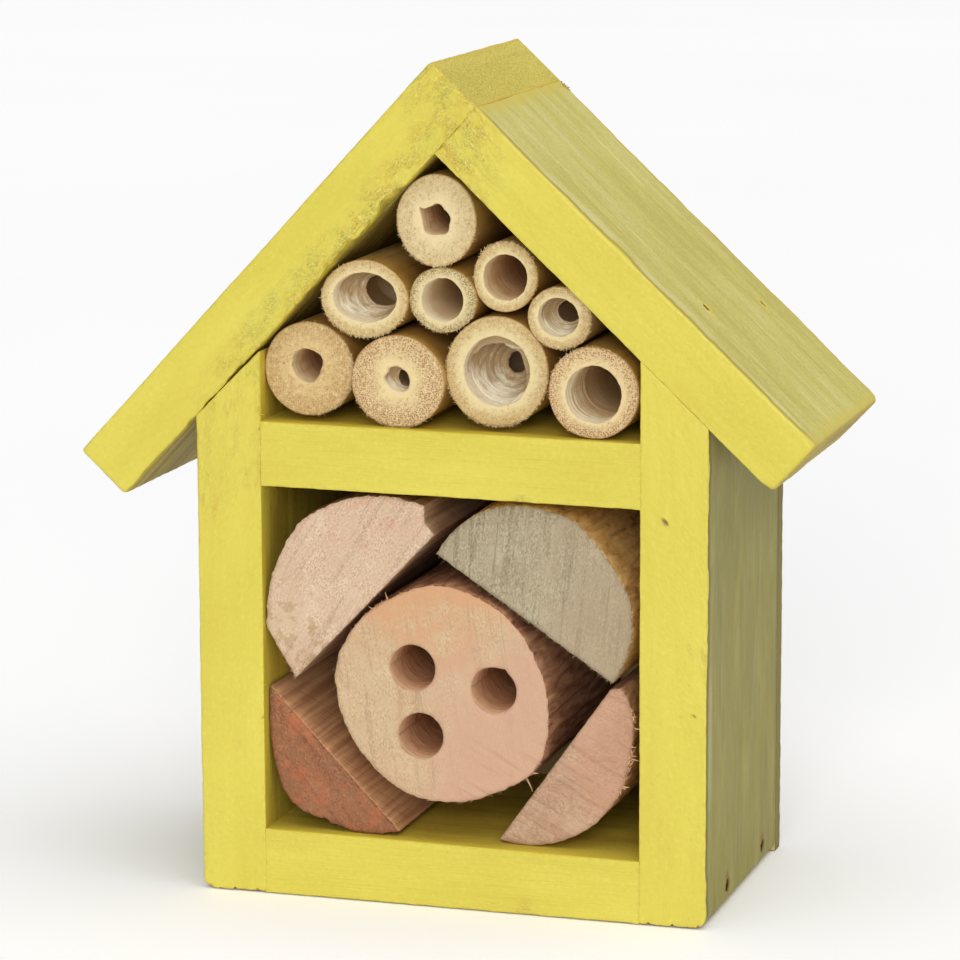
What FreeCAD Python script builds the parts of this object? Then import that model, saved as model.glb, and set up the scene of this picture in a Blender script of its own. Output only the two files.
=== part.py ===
"""Insect hotel: a small house of painted boards that holds bamboo tubes over a stack of logs.

Frame: millimetres, +X to the right seen from the front, +Y to the rear, +Z up.
Origin: the middle of the base, on the surface that the house stands on.
"""
import FreeCAD
import Part
import math
import os

# ---------------------------------------------------------------- driving dimensions
BODY_WIDTH = 100.0
BOARD_DEPTH = 56.0              # front to rear, the same for every board
PANEL_THICKNESS = 4.0
FRONT = -30.0                   # y of every board's front edge
REAR = FRONT + BOARD_DEPTH      # y of the frame's rear, where the back panel starts

SIDE_THICKNESS = 13.0
FLOOR_THICKNESS = 12.4
SHELF_THICKNESS = 12.4
SHELF_UNDERSIDE = 79.3          # height at mid width
CROSS_BOARD_FALL = 0.6          # shelf and floor top drop this much from left to right
SIDE_FOOT_RADIUS = 2.3          # rounded outer bottom corner of each side board

APEX_X = -3.0                   # the roof sits a little left of the body's middle
APEX_Z = 160.4
ROOF_THICKNESS = 12.0
LEFT_PITCH = 47.0               # degrees below horizontal; the two boards meet at 90 degrees
RIGHT_PITCH = 43.0
LEFT_ROOF_LENGTH = 103.7        # apex to eave along the outer face
RIGHT_ROOF_LENGTH = 99.8
LEFT_TOP_CUT = 45.0             # the left side's top is sawn 2 degrees off the roof's pitch

FILL_REAR = 25.2                # y where the tubes and logs end, just short of the back panel
GLUE_SPREAD = 0.88              # size of a glue dab, as a share of the end that it holds
SEPTUM_THICKNESS = 1.6          # the bamboo's own partition at each node of the cane

HOLE_RADIUS = 4.5               # drilled nesting holes
HOLE_DEPTH = 42.0
DRILL_POINT = 118.0             # degrees, the drill's tip angle

NAIL_SHANK_RADIUS = 0.7
NAIL_HEAD_RADIUS = 1.15
NAIL_HEAD_HEIGHT = 0.7
NAIL_POINT = 1.6
NAIL_SUNK = 0.5                 # how far a head lies below the wood's face
ROOF_NAIL_SUNK = 1.4            # more, because these heads lie askew to the slope
NAIL_LENGTH = 25.0
ROOF_NAIL_LENGTH = 28.0
PANEL_NAIL_LENGTH = 14.0
HANGER_NAIL_LENGTH = 3.4
FRONT_NAIL_Y = -13.8
REAR_NAIL_Y = 14.9
FLOOR_NAIL_Z = 4.1
SHELF_NAIL_Z = 88.4
SHELF_NAIL_INSET = 4.5          # the shelf's nails stand this much nearer mid depth
LEFT_ROOF_NAIL_ALONG = 64.0     # apex to nail head, down the slope
LEFT_ROOF_NAIL_LEAN = 0.075     # sideways run of a nail over its drop
RIGHT_ROOF_NAILS = [            # down the slope, y, lean
    (66.9, -15.3, 0.075),
    (71.8, 14.2, 0.15),
]
PANEL_NAIL_HEIGHTS = (30.0, 74.0)   # in the two sides
PANEL_FLOOR_NAIL = (22.0, 8.6)      # x each side of the middle, and z
PANEL_ROOF_NAIL_ALONG = 30.0        # apex to nail, down the slope
PANEL_ROOF_NAIL_MARGIN = 3.0        # from the roof board's underside

HANGER_WIDTH = 34.0
HANGER_HEIGHT = 14.0
HANGER_THICKNESS = 1.2
HANGER_Z = 117.0
HANGER_HOLE_RADIUS = 2.75
HANGER_NAIL_OFFSET = 11.5
HANGER_POCKET_RADIUS = 4.5      # room behind the hanger for a screw's head

# name, centre x, centre z, half width, half height, face y, bore offset x and z,
# bore half width and half height, depth of the clear bore
TUBES = [
    ("bamboo_top", -2.95, 130.90, 7.68, 8.58, -27.0, -0.25, 0.20, 3.00, 2.92, 34.0),
    ("bamboo_mid_1", -16.74, 115.84, 8.50, 7.23, -28.0, 0.05, 0.25, 6.25, 4.70, 26.0),
    ("bamboo_mid_2", -1.71, 116.14, 6.47, 6.08, -27.0, -0.10, -0.05, 4.08, 4.12, 38.0),
    ("bamboo_mid_3", 10.25, 120.70, 6.12, 6.56, -26.5, 0.0, -0.04, 4.25, 4.28, 33.0),
    ("bamboo_mid_4", 20.80, 113.58, 6.04, 5.88, -27.0, -0.26, 0.15, 3.92, 3.62, 24.0),
    ("bamboo_low_1", -28.19, 101.96, 8.76, 8.94, -27.0, -0.35, 0.66, 3.26, 3.35, 30.0),
    ("bamboo_low_2", -10.36, 100.52, 9.08, 8.69, -28.0, 0.0, 0.42, 3.00, 2.85, 22.0),
    ("bamboo_low_3", 8.58, 103.01, 9.98, 10.36, -26.5, -0.06, 0.0, 6.40, 6.60, 28.0),
    ("bamboo_low_4", 27.69, 100.11, 8.68, 8.57, -28.5, 0.06, -0.22, 5.38, 5.38, 42.0),
]

# Split logs. Each outline starts at one end of the flat face and goes round the bark.
# (x, z) is the end of a straight run; ((x, z), (x, z)) is an arc's middle and end.
SPLIT_LOGS = [
    ("log_upper_left", -28.8, (-3.2, 71.8), [
        (-5.0, 73.9), (-5.2, 77.2),
        ((-18.0, 78.2), (-30.1, 72.4)),
        ((-35.4, 62.6), (-36.7, 52.0)),
        (-31.0, 42.6)]),
    ("log_upper_right", -27.0, (31.0, 45.2), [
        ((34.6, 53.5), (34.1, 62.0)),
        ((29.6, 69.3), (23.7, 75.5)),
        ((15.5, 77.8), (7.5, 77.1)),
        ((1.4, 73.6), (-3.3, 67.9))]),
    ("log_lower_left", -27.6, (-36.5, 40.2), [
        ((-36.7, 30.6), (-34.6, 20.9)),
        ((-31.5, 17.0), (-26.0, 14.9)),
        ((-18.5, 12.75), (-10.9, 13.5))]),
    ("log_lower_right", -26.0, (8.7, 13.1), [
        ((15.2, 12.45), (21.0, 13.7)),
        ((31.4, 22.4), (34.6, 33.5)),
        ((34.6, 39.5), (32.6, 44.1)),
        (30.4, 43.7)]),
]

# The middle log is a whole branch, a little out of round.
ROUND_LOG_FACE = -28.0
ROUND_LOG_OUTLINE = [
    (18.9, 38.5), (16.9, 47.8), (10.2, 57.1), (-2.4, 62.0), (-15.0, 57.3), (-22.0, 48.8),
    (-23.1, 40.0), (-19.0, 29.6), (-9.6, 21.5), (1.0, 20.3), (10.6, 23.7), (17.1, 28.9),
]
DRILLED_HOLES = [(-7.8, 45.8), (8.2, 42.5), (-6.3, 32.7)]

BODY_HALF = BODY_WIDTH / 2
INNER_HALF = BODY_HALF - SIDE_THICKNESS
PANEL_REAR = REAR + PANEL_THICKNESS
ALONG_X = FreeCAD.Vector(1, 0, 0)
PAST = 1.0                      # how far a cutting shape runs beyond the face that it opens


# ---------------------------------------------------------------- helpers
def vector(x, y, z):
    return FreeCAD.Vector(x, y, z)


def outline_face(start, steps):
    """A flat face in x and z from straight runs and arcs, closed back to its start."""
    edges = []
    here = start
    for step in steps:
        if isinstance(step[0], tuple):
            middle, end = step
            arc = Part.Arc(vector(*here, 0), vector(*middle, 0), vector(*end, 0))
            edges.append(arc.toShape())
        else:
            end = step
            edges.append(Part.makeLine(vector(*here, 0), vector(*end, 0)))
        here = end
    if here != start:
        edges.append(Part.makeLine(vector(*here, 0), vector(*start, 0)))
    return Part.Face(Part.Wire(edges))


def ellipse_face(x, z, half_width, half_height):
    """An upright or lying ellipse."""
    centre = vector(x, z, 0)
    across = vector(x + half_width, z, 0)
    upright = vector(x, z + half_height, 0)
    if half_width >= half_height:
        curve = Part.Ellipse(across, upright, centre)
    else:
        curve = Part.Ellipse(upright, across, centre)
    return Part.Face(Part.Wire([curve.toShape()]))


def prism(face, front, rear):
    """Stand a drawn face upright and run it from y = front to y = rear."""
    solid = face.extrude(vector(0, 0, front - rear))
    solid.translate(vector(0, 0, -front))
    solid.rotate(vector(0, 0, 0), ALONG_X, 90)
    return solid


def polygon_prism(points, front, rear):
    return prism(outline_face(points[0], points[1:]), front, rear)


def nail(head, direction, length, sunk):
    """A wire nail with a flat head; head is the point where it enters the wood's face."""
    into = FreeCAD.Vector(direction)
    into.normalize()
    top = head + into * sunk
    shank_length = length - NAIL_POINT
    cap = Part.makeCylinder(NAIL_HEAD_RADIUS, NAIL_HEAD_HEIGHT, top, into)
    shank = Part.makeCylinder(NAIL_SHANK_RADIUS, shank_length, top, into)
    point = Part.makeCone(NAIL_SHANK_RADIUS, 0, NAIL_POINT, top + into * shank_length, into)
    return cap.fuse([shank, point]).removeSplitter()


def nail_pocket(head, direction, sunk):
    """The dent above a sunk nail head."""
    into = FreeCAD.Vector(direction)
    into.normalize()
    over = NAIL_HEAD_RADIUS + PAST
    return Part.makeCylinder(NAIL_HEAD_RADIUS, sunk + over, head - into * over, into)


def export(name, shape):
    if not shape.isValid():
        raise ValueError(name + " is not a valid shape")
    shape.exportStep("parts/" + name + ".step")


# ---------------------------------------------------------------- roof geometry
def slope_directions():
    """Unit vectors in x and z down each roof slope, and square to it into the house."""
    left = math.radians(LEFT_PITCH)
    right = math.radians(RIGHT_PITCH)
    left_down = vector(-math.cos(left), 0, -math.sin(left))
    right_down = vector(math.cos(right), 0, -math.sin(right))
    return left_down, right_down


APEX = vector(APEX_X, 0, APEX_Z)
LEFT_DOWN, RIGHT_DOWN = slope_directions()   # each is also the other slope's inward normal


def roof_point(along_left, along_right):
    """The point at these distances down the left and the right slope from the apex."""
    point = APEX + LEFT_DOWN * along_left + RIGHT_DOWN * along_right
    return (point.x, point.z)


def left_underside(x):
    """Height of the left roof board's underside."""
    corner_x, corner_z = roof_point(0, ROOF_THICKNESS)
    return corner_z - (corner_x - x) * math.tan(math.radians(LEFT_PITCH))


def right_underside(x):
    """Height of the right roof board's underside."""
    corner_x, corner_z = roof_point(ROOF_THICKNESS, 0)
    return corner_z - (x - corner_x) * math.tan(math.radians(RIGHT_PITCH))


# ---------------------------------------------------------------- boards
def side_boards():
    """Two upright sides. The right top fits its roof board, the left meets it at the edge."""
    foot = SIDE_FOOT_RADIUS
    bend = foot * (1 - math.cos(math.radians(45)))
    outer_top = left_underside(-BODY_HALF)
    inner_top = outer_top + SIDE_THICKNESS * math.tan(math.radians(LEFT_TOP_CUT))
    left = outline_face((-INNER_HALF, 0), [
        (-INNER_HALF, inner_top),
        (-BODY_HALF, outer_top),
        (-BODY_HALF, foot),
        ((-BODY_HALF + bend, bend), (-BODY_HALF + foot, 0))])
    right = outline_face((INNER_HALF, 0), [
        (BODY_HALF - foot, 0),
        ((BODY_HALF - bend, bend), (BODY_HALF, foot)),
        (BODY_HALF, right_underside(BODY_HALF)),
        (INNER_HALF, right_underside(INNER_HALF))])
    return prism(left, FRONT, REAR), prism(right, FRONT, REAR)


def cross_board(bottom_left, bottom_right, top_left, top_right):
    """A board between the two sides, given by its corner heights."""
    corners = [(-INNER_HALF, bottom_left), (INNER_HALF, bottom_right),
               (INNER_HALF, top_right), (-INNER_HALF, top_left)]
    return polygon_prism(corners, FRONT, REAR)


def floor_and_shelf():
    half_fall = CROSS_BOARD_FALL / 2
    floor = cross_board(0, 0, FLOOR_THICKNESS + half_fall, FLOOR_THICKNESS - half_fall)
    left = SHELF_UNDERSIDE + half_fall
    right = SHELF_UNDERSIDE - half_fall
    shelf = cross_board(left, right, left + SHELF_THICKNESS, right + SHELF_THICKNESS)
    return floor, shelf


def roof_boards():
    """The left board runs over the ridge and the right board butts against its underside."""
    left = [roof_point(0, 0), roof_point(0, ROOF_THICKNESS),
            roof_point(LEFT_ROOF_LENGTH, ROOF_THICKNESS), roof_point(LEFT_ROOF_LENGTH, 0)]
    right = [roof_point(0, ROOF_THICKNESS), roof_point(0, RIGHT_ROOF_LENGTH),
             roof_point(ROOF_THICKNESS, RIGHT_ROOF_LENGTH),
             roof_point(ROOF_THICKNESS, ROOF_THICKNESS)]
    return polygon_prism(left, FRONT, REAR), polygon_prism(right, FRONT, REAR)


def back_panel():
    """A five-sided plywood sheet. Its slopes end half way up the roof boards' thickness."""
    lap = ROOF_THICKNESS / 2
    peak_x, peak_z = roof_point(lap, lap)
    left_top = peak_z - (peak_x + BODY_HALF) * math.tan(math.radians(LEFT_PITCH))
    right_top = peak_z - (BODY_HALF - peak_x) * math.tan(math.radians(RIGHT_PITCH))
    corners = [(-BODY_HALF, 0), (BODY_HALF, 0), (BODY_HALF, right_top), (peak_x, peak_z),
               (-BODY_HALF, left_top)]
    return polygon_prism(corners, REAR, PANEL_REAR)


# ---------------------------------------------------------------- nails
def side_nails(height, inset):
    """Nails through both sides into the end of a cross board, as (head, direction) pairs."""
    places = []
    for side in (-1, 1):
        for y in (FRONT_NAIL_Y + inset, REAR_NAIL_Y - inset):
            places.append((vector(side * BODY_HALF, y, height), vector(-side, 0, 0)))
    return places


def roof_nails():
    """Nails driven nearly straight down through each roof board into the side under it."""
    left_head = APEX + LEFT_DOWN * LEFT_ROOF_NAIL_ALONG
    places = [(left_head + vector(0, y, 0), vector(LEFT_ROOF_NAIL_LEAN, 0, -1))
              for y in (FRONT_NAIL_Y, REAR_NAIL_Y)]
    for along, y, lean in RIGHT_ROOF_NAILS:
        places.append((APEX + RIGHT_DOWN * along + vector(0, y, 0), vector(-lean, 0, -1)))
    return places


def ridge_nails():
    """Nails through the left roof board into the right board's end grain."""
    head = APEX + LEFT_DOWN * (ROOF_THICKNESS / 2)
    return [(head + vector(0, y, 0), RIGHT_DOWN) for y in (FRONT_NAIL_Y, REAR_NAIL_Y)]


def panel_nails():
    """Nails through the back panel into the sides, floor and roof boards."""
    side_x = BODY_HALF - SIDE_THICKNESS / 2
    floor_x, floor_z = PANEL_FLOOR_NAIL
    inset = ROOF_THICKNESS - PANEL_ROOF_NAIL_MARGIN
    places = [(side * side_x, z) for z in PANEL_NAIL_HEIGHTS for side in (-1, 1)]
    places += [(-floor_x, floor_z), (floor_x, floor_z)]
    places += [roof_point(PANEL_ROOF_NAIL_ALONG, inset), roof_point(inset, PANEL_ROOF_NAIL_ALONG)]
    return [(vector(x, PANEL_REAR, z), vector(0, -1, 0)) for x, z in places]


def drive(places, length, sunk, boards):
    """Cut each nail and the dent over its head out of the boards; give back the nails."""
    nails = []
    for head, direction in places:
        one = nail(head, direction, length, sunk)
        nails.append(one)
        pocket = nail_pocket(head, direction, sunk)
        for name in boards:
            boards[name] = boards[name].cut([one, pocket])
    return Part.makeCompound(nails)


# ---------------------------------------------------------------- hanger
def hanger_plate():
    """A flat steel plate with rounded ends, one hanging hole and two nail holes."""
    half_height = HANGER_HEIGHT / 2
    straight = HANGER_WIDTH / 2 - half_height
    outline = outline_face((-straight, HANGER_Z - half_height), [
        (straight, HANGER_Z - half_height),
        ((straight + half_height, HANGER_Z), (straight, HANGER_Z + half_height)),
        (-straight, HANGER_Z + half_height),
        ((-straight - half_height, HANGER_Z), (-straight, HANGER_Z - half_height))])
    plate = prism(outline, PANEL_REAR, PANEL_REAR + HANGER_THICKNESS)
    holes = [Part.makeCylinder(HANGER_HOLE_RADIUS, HANGER_THICKNESS,
                               vector(0, PANEL_REAR, HANGER_Z), vector(0, 1, 0))]
    for side in (-1, 1):
        place = vector(side * HANGER_NAIL_OFFSET, PANEL_REAR, HANGER_Z)
        holes.append(Part.makeCylinder(NAIL_SHANK_RADIUS, HANGER_THICKNESS, place, vector(0, 1, 0)))
    return plate.cut(holes)


def hanger_nails():
    """Two short tacks whose heads sit on the plate."""
    outer_face = PANEL_REAR + HANGER_THICKNESS + NAIL_HEAD_HEIGHT
    length = HANGER_NAIL_LENGTH + HANGER_THICKNESS
    return [nail(vector(side * HANGER_NAIL_OFFSET, outer_face, HANGER_Z), vector(0, -1, 0),
                 length, 0) for side in (-1, 1)]


# ---------------------------------------------------------------- tubes and logs
def bamboo_tube(x, z, half_width, half_height, face, bore_dx, bore_dz, bore_a, bore_b, depth):
    """A length of cane: open at the front as far as its node, and hollow again behind it."""
    tube = prism(ellipse_face(x, z, half_width, half_height), face, FILL_REAR)
    bore = ellipse_face(x + bore_dx, z + bore_dz, bore_a, bore_b)
    front_bore = prism(bore, face - PAST, face + depth)
    rear_bore = prism(bore, face + depth + SEPTUM_THICKNESS, FILL_REAR + PAST)
    return tube.cut([front_bore, rear_bore])


def glue_under(face_shape):
    """A thin dab of glue between the rear end of a tube or log and the back panel."""
    centre = face_shape.CenterOfMass
    spread = FreeCAD.Matrix()
    spread.move(-centre)
    spread.scale(GLUE_SPREAD, GLUE_SPREAD, 1)
    spread.move(centre)
    dab = face_shape.transformGeometry(spread)
    return prism(dab, FILL_REAR, REAR)


def round_log_face():
    """A smooth closed curve through the branch's outline points."""
    curve = Part.BSplineCurve()
    curve.interpolate(Points=[vector(x, z, 0) for x, z in ROUND_LOG_OUTLINE], PeriodicFlag=True)
    return Part.Face(Part.Wire([curve.toShape()]))


def drilled_log():
    """The round branch with its blind holes, each ending in the drill's cone."""
    log = prism(round_log_face(), ROUND_LOG_FACE, FILL_REAR)
    cone = HOLE_RADIUS / math.tan(math.radians(DRILL_POINT / 2))
    into = vector(0, 1, 0)
    cuts = []
    for x, z in DRILLED_HOLES:
        mouth = vector(x, ROUND_LOG_FACE - PAST, z)
        cuts.append(Part.makeCylinder(HOLE_RADIUS, HOLE_DEPTH + PAST, mouth, into))
        bottom = vector(x, ROUND_LOG_FACE + HOLE_DEPTH, z)
        cuts.append(Part.makeCone(HOLE_RADIUS, 0, cone, bottom, into))
    return log.cut(cuts)


# ---------------------------------------------------------------- build
def build():
    os.makedirs("parts", exist_ok=True)

    left_side, right_side = side_boards()
    floor, shelf = floor_and_shelf()
    left_roof, right_roof = roof_boards()
    boards = {
        "left_side_board": left_side,
        "right_side_board": right_side,
        "floor_board": floor,
        "shelf_board": shelf,
        "left_roof_board": left_roof,
        "right_roof_board": right_roof,
        "back_panel": back_panel(),
    }

    groups = {
        "side_to_floor_nails": (side_nails(FLOOR_NAIL_Z, 0), NAIL_LENGTH, NAIL_SUNK),
        "side_to_shelf_nails": (side_nails(SHELF_NAIL_Z, SHELF_NAIL_INSET), NAIL_LENGTH, NAIL_SUNK),
        "roof_to_side_nails": (roof_nails(), ROOF_NAIL_LENGTH, ROOF_NAIL_SUNK),
        "ridge_nails": (ridge_nails(), NAIL_LENGTH, NAIL_SUNK),
        "back_panel_nails": (panel_nails(), PANEL_NAIL_LENGTH, 0),
    }
    for name, (places, length, sunk) in groups.items():
        export(name, drive(places, length, sunk, boards))

    tacks = hanger_nails()
    pocket = Part.makeCylinder(HANGER_POCKET_RADIUS, PANEL_THICKNESS,
                               vector(0, REAR, HANGER_Z), vector(0, 1, 0))
    boards["back_panel"] = boards["back_panel"].cut(tacks + [pocket])
    export("hanger_plate", hanger_plate())
    export("hanger_nails", Part.makeCompound(tacks))
    for name, shape in boards.items():
        export(name, shape)

    tube_glue = []
    for name, *sizes in TUBES:
        export(name, bamboo_tube(*sizes))
        tube_glue.append(glue_under(ellipse_face(*sizes[:4])))
    export("bamboo_glue_dabs", Part.makeCompound(tube_glue))

    log_glue = [glue_under(round_log_face())]
    export("drilled_log", drilled_log())
    for name, face, start, steps in SPLIT_LOGS:
        outline = outline_face(start, steps)
        export(name, prism(outline, face, FILL_REAR))
        log_glue.append(glue_under(outline))
    export("log_glue_dabs", Part.makeCompound(log_glue))


build()
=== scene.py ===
"""Insect hotel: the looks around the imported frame.

Lengths are in millimetres until a piece is made; x is right seen from the front, y to the rear,
z up, and the origin is the middle of the base.
"""

import math

import bmesh
import bpy
import numpy as np
from mathutils import Matrix, Vector
from mathutils.geometry import delaunay_2d_cdt


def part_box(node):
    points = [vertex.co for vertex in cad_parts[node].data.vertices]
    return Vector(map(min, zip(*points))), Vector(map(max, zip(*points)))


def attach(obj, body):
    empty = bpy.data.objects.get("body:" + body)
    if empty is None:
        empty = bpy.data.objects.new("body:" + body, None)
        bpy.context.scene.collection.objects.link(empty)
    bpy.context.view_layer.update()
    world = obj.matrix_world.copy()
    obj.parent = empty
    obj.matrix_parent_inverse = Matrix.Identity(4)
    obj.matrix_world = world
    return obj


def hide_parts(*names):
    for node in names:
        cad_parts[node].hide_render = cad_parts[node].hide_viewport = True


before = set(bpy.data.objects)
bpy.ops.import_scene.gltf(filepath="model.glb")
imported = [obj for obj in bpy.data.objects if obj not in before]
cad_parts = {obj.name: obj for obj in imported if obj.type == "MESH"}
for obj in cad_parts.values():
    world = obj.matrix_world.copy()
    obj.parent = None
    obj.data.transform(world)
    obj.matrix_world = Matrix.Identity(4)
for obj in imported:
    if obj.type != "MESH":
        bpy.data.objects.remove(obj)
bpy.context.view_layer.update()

MM = 0.001
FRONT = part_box("floor_board")[0].y / MM
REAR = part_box("floor_board")[1].y / MM
PANEL_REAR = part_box("back_panel")[1].y / MM
FILL_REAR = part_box("bamboo_top")[1].y / MM

# ---------------------------------------------------------------- the frame's sizes
APEX = np.array((-3.0, 160.4))
LEFT_PITCH, RIGHT_PITCH = math.radians(47.0), math.radians(43.0)
LEFT_DOWN = np.array((-math.cos(LEFT_PITCH), -math.sin(LEFT_PITCH)))
RIGHT_DOWN = np.array((math.cos(RIGHT_PITCH), -math.sin(RIGHT_PITCH)))
ROOF_THICKNESS = 12.0
LEFT_ROOF_LENGTH, RIGHT_ROOF_LENGTH = 103.7, 99.8
BODY_HALF, INNER_HALF = 50.0, 37.0
LEFT_TOP_CUT = math.radians(45.0)

# name, centre x, centre z, half width, half height, face y, bore offset x and z, bore half width
# and half height, depth of the clear bore
TUBES = {
    "bamboo_top": (-2.95, 130.90, 7.68, 8.58, -27.0, -0.25, 0.20, 3.00, 2.92, 34.0),
    "bamboo_mid_1": (-16.74, 115.84, 8.50, 7.23, -28.0, 0.05, 0.25, 6.25, 4.70, 26.0),
    "bamboo_mid_2": (-1.71, 116.14, 6.47, 6.08, -27.0, -0.10, -0.05, 4.08, 4.12, 38.0),
    "bamboo_mid_3": (10.25, 120.70, 6.12, 6.56, -26.5, 0.0, -0.04, 4.25, 4.28, 33.0),
    "bamboo_mid_4": (20.80, 113.58, 6.04, 5.88, -27.0, -0.26, 0.15, 3.92, 3.62, 24.0),
    "bamboo_low_1": (-28.19, 101.96, 8.76, 8.94, -27.0, -0.35, 0.66, 3.26, 3.35, 30.0),
    "bamboo_low_2": (-10.36, 100.52, 9.08, 8.69, -28.0, 0.0, 0.42, 3.00, 2.85, 22.0),
    "bamboo_low_3": (8.58, 103.01, 9.98, 10.36, -26.5, -0.06, 0.0, 6.40, 6.60, 28.0),
    "bamboo_low_4": (27.69, 100.11, 8.68, 8.57, -28.5, 0.06, -0.22, 5.38, 5.38, 42.0),
}
# for each split log: its face's y, a corner, and the outline from there, in x and z; a corner
# ends a straight sawn side, and a pair of (a place on the way, end) an arc of bark
SPLIT_LOGS = {
    "log_upper_left": (-28.8, (-3.2, 71.8), [
        (-5.0, 73.9), (-5.2, 77.2),
        ((-18.0, 78.2), (-30.1, 72.4)),
        ((-35.4, 62.6), (-36.7, 52.0)),
        (-31.0, 42.6)]),
    "log_upper_right": (-27.0, (31.0, 45.2), [
        ((34.6, 53.5), (34.1, 62.0)),
        ((29.6, 69.3), (23.7, 75.5)),
        ((15.5, 77.8), (7.5, 77.1)),
        ((1.4, 73.6), (-3.3, 67.9))]),
    "log_lower_left": (-27.6, (-36.5, 40.2), [
        ((-36.7, 30.6), (-34.6, 20.9)),
        ((-31.5, 17.0), (-26.0, 14.9)),
        ((-18.5, 12.75), (-10.9, 13.5))]),
    "log_lower_right": (-26.0, (8.7, 13.1), [
        ((15.2, 12.45), (21.0, 13.7)),
        ((31.4, 22.4), (34.6, 33.5)),
        ((34.6, 39.5), (32.6, 44.1)),
        (30.4, 43.7)]),
}
ROUND_LOG_FACE = -28.0
# x and z of the knots of a smooth curve
ROUND_LOG_OUTLINE = [
    (18.9, 38.5), (16.9, 47.8), (10.2, 57.1), (-2.4, 62.0), (-15.0, 57.3), (-22.0, 48.8),
    (-23.1, 40.0), (-19.0, 29.6), (-9.6, 21.5), (1.0, 20.3), (10.6, 23.7), (17.1, 28.9),
]
DRILLED_HOLES = [(-7.8, 45.8), (8.2, 42.5), (-6.3, 32.7)]
HOLE_RADIUS = 4.5
HOLE_DEPTH = 42.0
HANGER_Z = 117.0
POCKET_RADIUS = 4.5
WELD_DISTANCE = 0.00002  # metres
# sunk nails: how far along the board, and y
LEFT_ROOF_NAILS = [(6.0, -13.8), (6.0, 14.9), (64.0, -13.8), (64.0, 14.9)]
RIGHT_ROOF_NAILS = [(54.9, -15.3), (59.8, 14.2)]
FLOOR_NAILS, SHELF_NAILS = [(4.1, -13.8), (4.1, 14.9)], [(88.4, -9.3), (88.4, 10.4)]
FLOOR_TOP = (12.7, 12.1)  # z at the left and right ends
SHELF_LOW, SHELF_TOP = (79.6, 79.0), (92.0, 91.4)
SKIN = 0.2  # thickness of a partition's remains
SEAM = 0.12  # how far a side's cut reaches into the roof board
PAINTED = "painted_board"

CAMERA_PLACE = Vector((230.36, -748.95, 226.49))
CAMERA_YAW, CAMERA_PITCH, CAMERA_ROLL = (math.radians(a) for a in (17.3074, 10.7817, -0.2212))
CAMERA_LENS, CAMERA_SENSOR = 154.8, 36.0
FLOOR_HALF, FLOOR_LEVEL = 6.0, -0.0002  # metres
SKY_STRENGTH = 0.32
# name, way to the sun, its spread in degrees, and power
SUNS = (("key", (0.20, -0.93, 0.30), 30, 1.5), ("top", (0.25, -0.20, 0.94), 70, 1.75))


# ---------------------------------------------------------------- noise
def lattice(ix, iy, iz, seed):
    """A repeatable value from -1 to 1 for each whole-number place."""
    h = (ix * 374761393 + iy * 668265263 + iz * 1274126177 + seed * 1103515245) & 0xFFFFFFFF
    h = ((h ^ (h >> 13)) * 1274126177) & 0xFFFFFFFF
    h = ((h ^ (h >> 15)) * 668265263) & 0xFFFFFFFF
    return (h ^ (h >> 16)) / 0x7FFFFFFF - 1.0


def noise(points, seed):
    """Smooth noise at each point, about -1 to 1."""
    whole = np.floor(points).astype(np.int64)
    part = points - whole
    part = part ** 3 * (part * (part * 6 - 15) + 10)
    total = 0.0
    for corner in range(8):
        step = np.array((corner & 1, corner >> 1 & 1, corner >> 2))
        weight = np.prod(np.where(step, part, 1 - part), axis=1)
        at = whole + step
        total = total + weight * lattice(at[:, 0], at[:, 1], at[:, 2], seed)
    return total


def fbm(points, seed, octaves=3, gain=0.5):
    """Noise with finer noise added on top."""
    points = np.asarray(points, float)
    total, size, scale = 0.0, 1.0, 1.0
    for octave in range(octaves):
        total = total + size * noise(points * scale + 17.3 * octave, seed + octave)
        size *= gain
        scale *= 2.03
    return total / (2 - 2 * gain ** octaves) * (1 - gain) * 2


def smooth(value, low, high):
    """0 below low, 1 above high, and a soft step between."""
    t = np.clip((value - low) / (high - low), 0, 1)
    return t * t * (3 - 2 * t)


def columns(*arrays):
    """Arrays or numbers side by side, as the columns of one array."""
    return np.stack(np.broadcast_arrays(*arrays), axis=-1).astype(float)


# ---------------------------------------------------------------- materials
def rgb(red, green, blue):
    """A colour given as on a screen, 0 to 255, in the renderer's own numbers."""
    def linear(c):
        c /= 255
        return c / 12.92 if c <= 0.04045 else ((c + 0.055) / 1.055) ** 2.4
    return (linear(red), linear(green), linear(blue), 1.0)


def shade(colour, factor):
    """The colour made darker or lighter."""
    return tuple(min(1.0, factor * c) for c in colour[:3]) + (1,)


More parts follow.
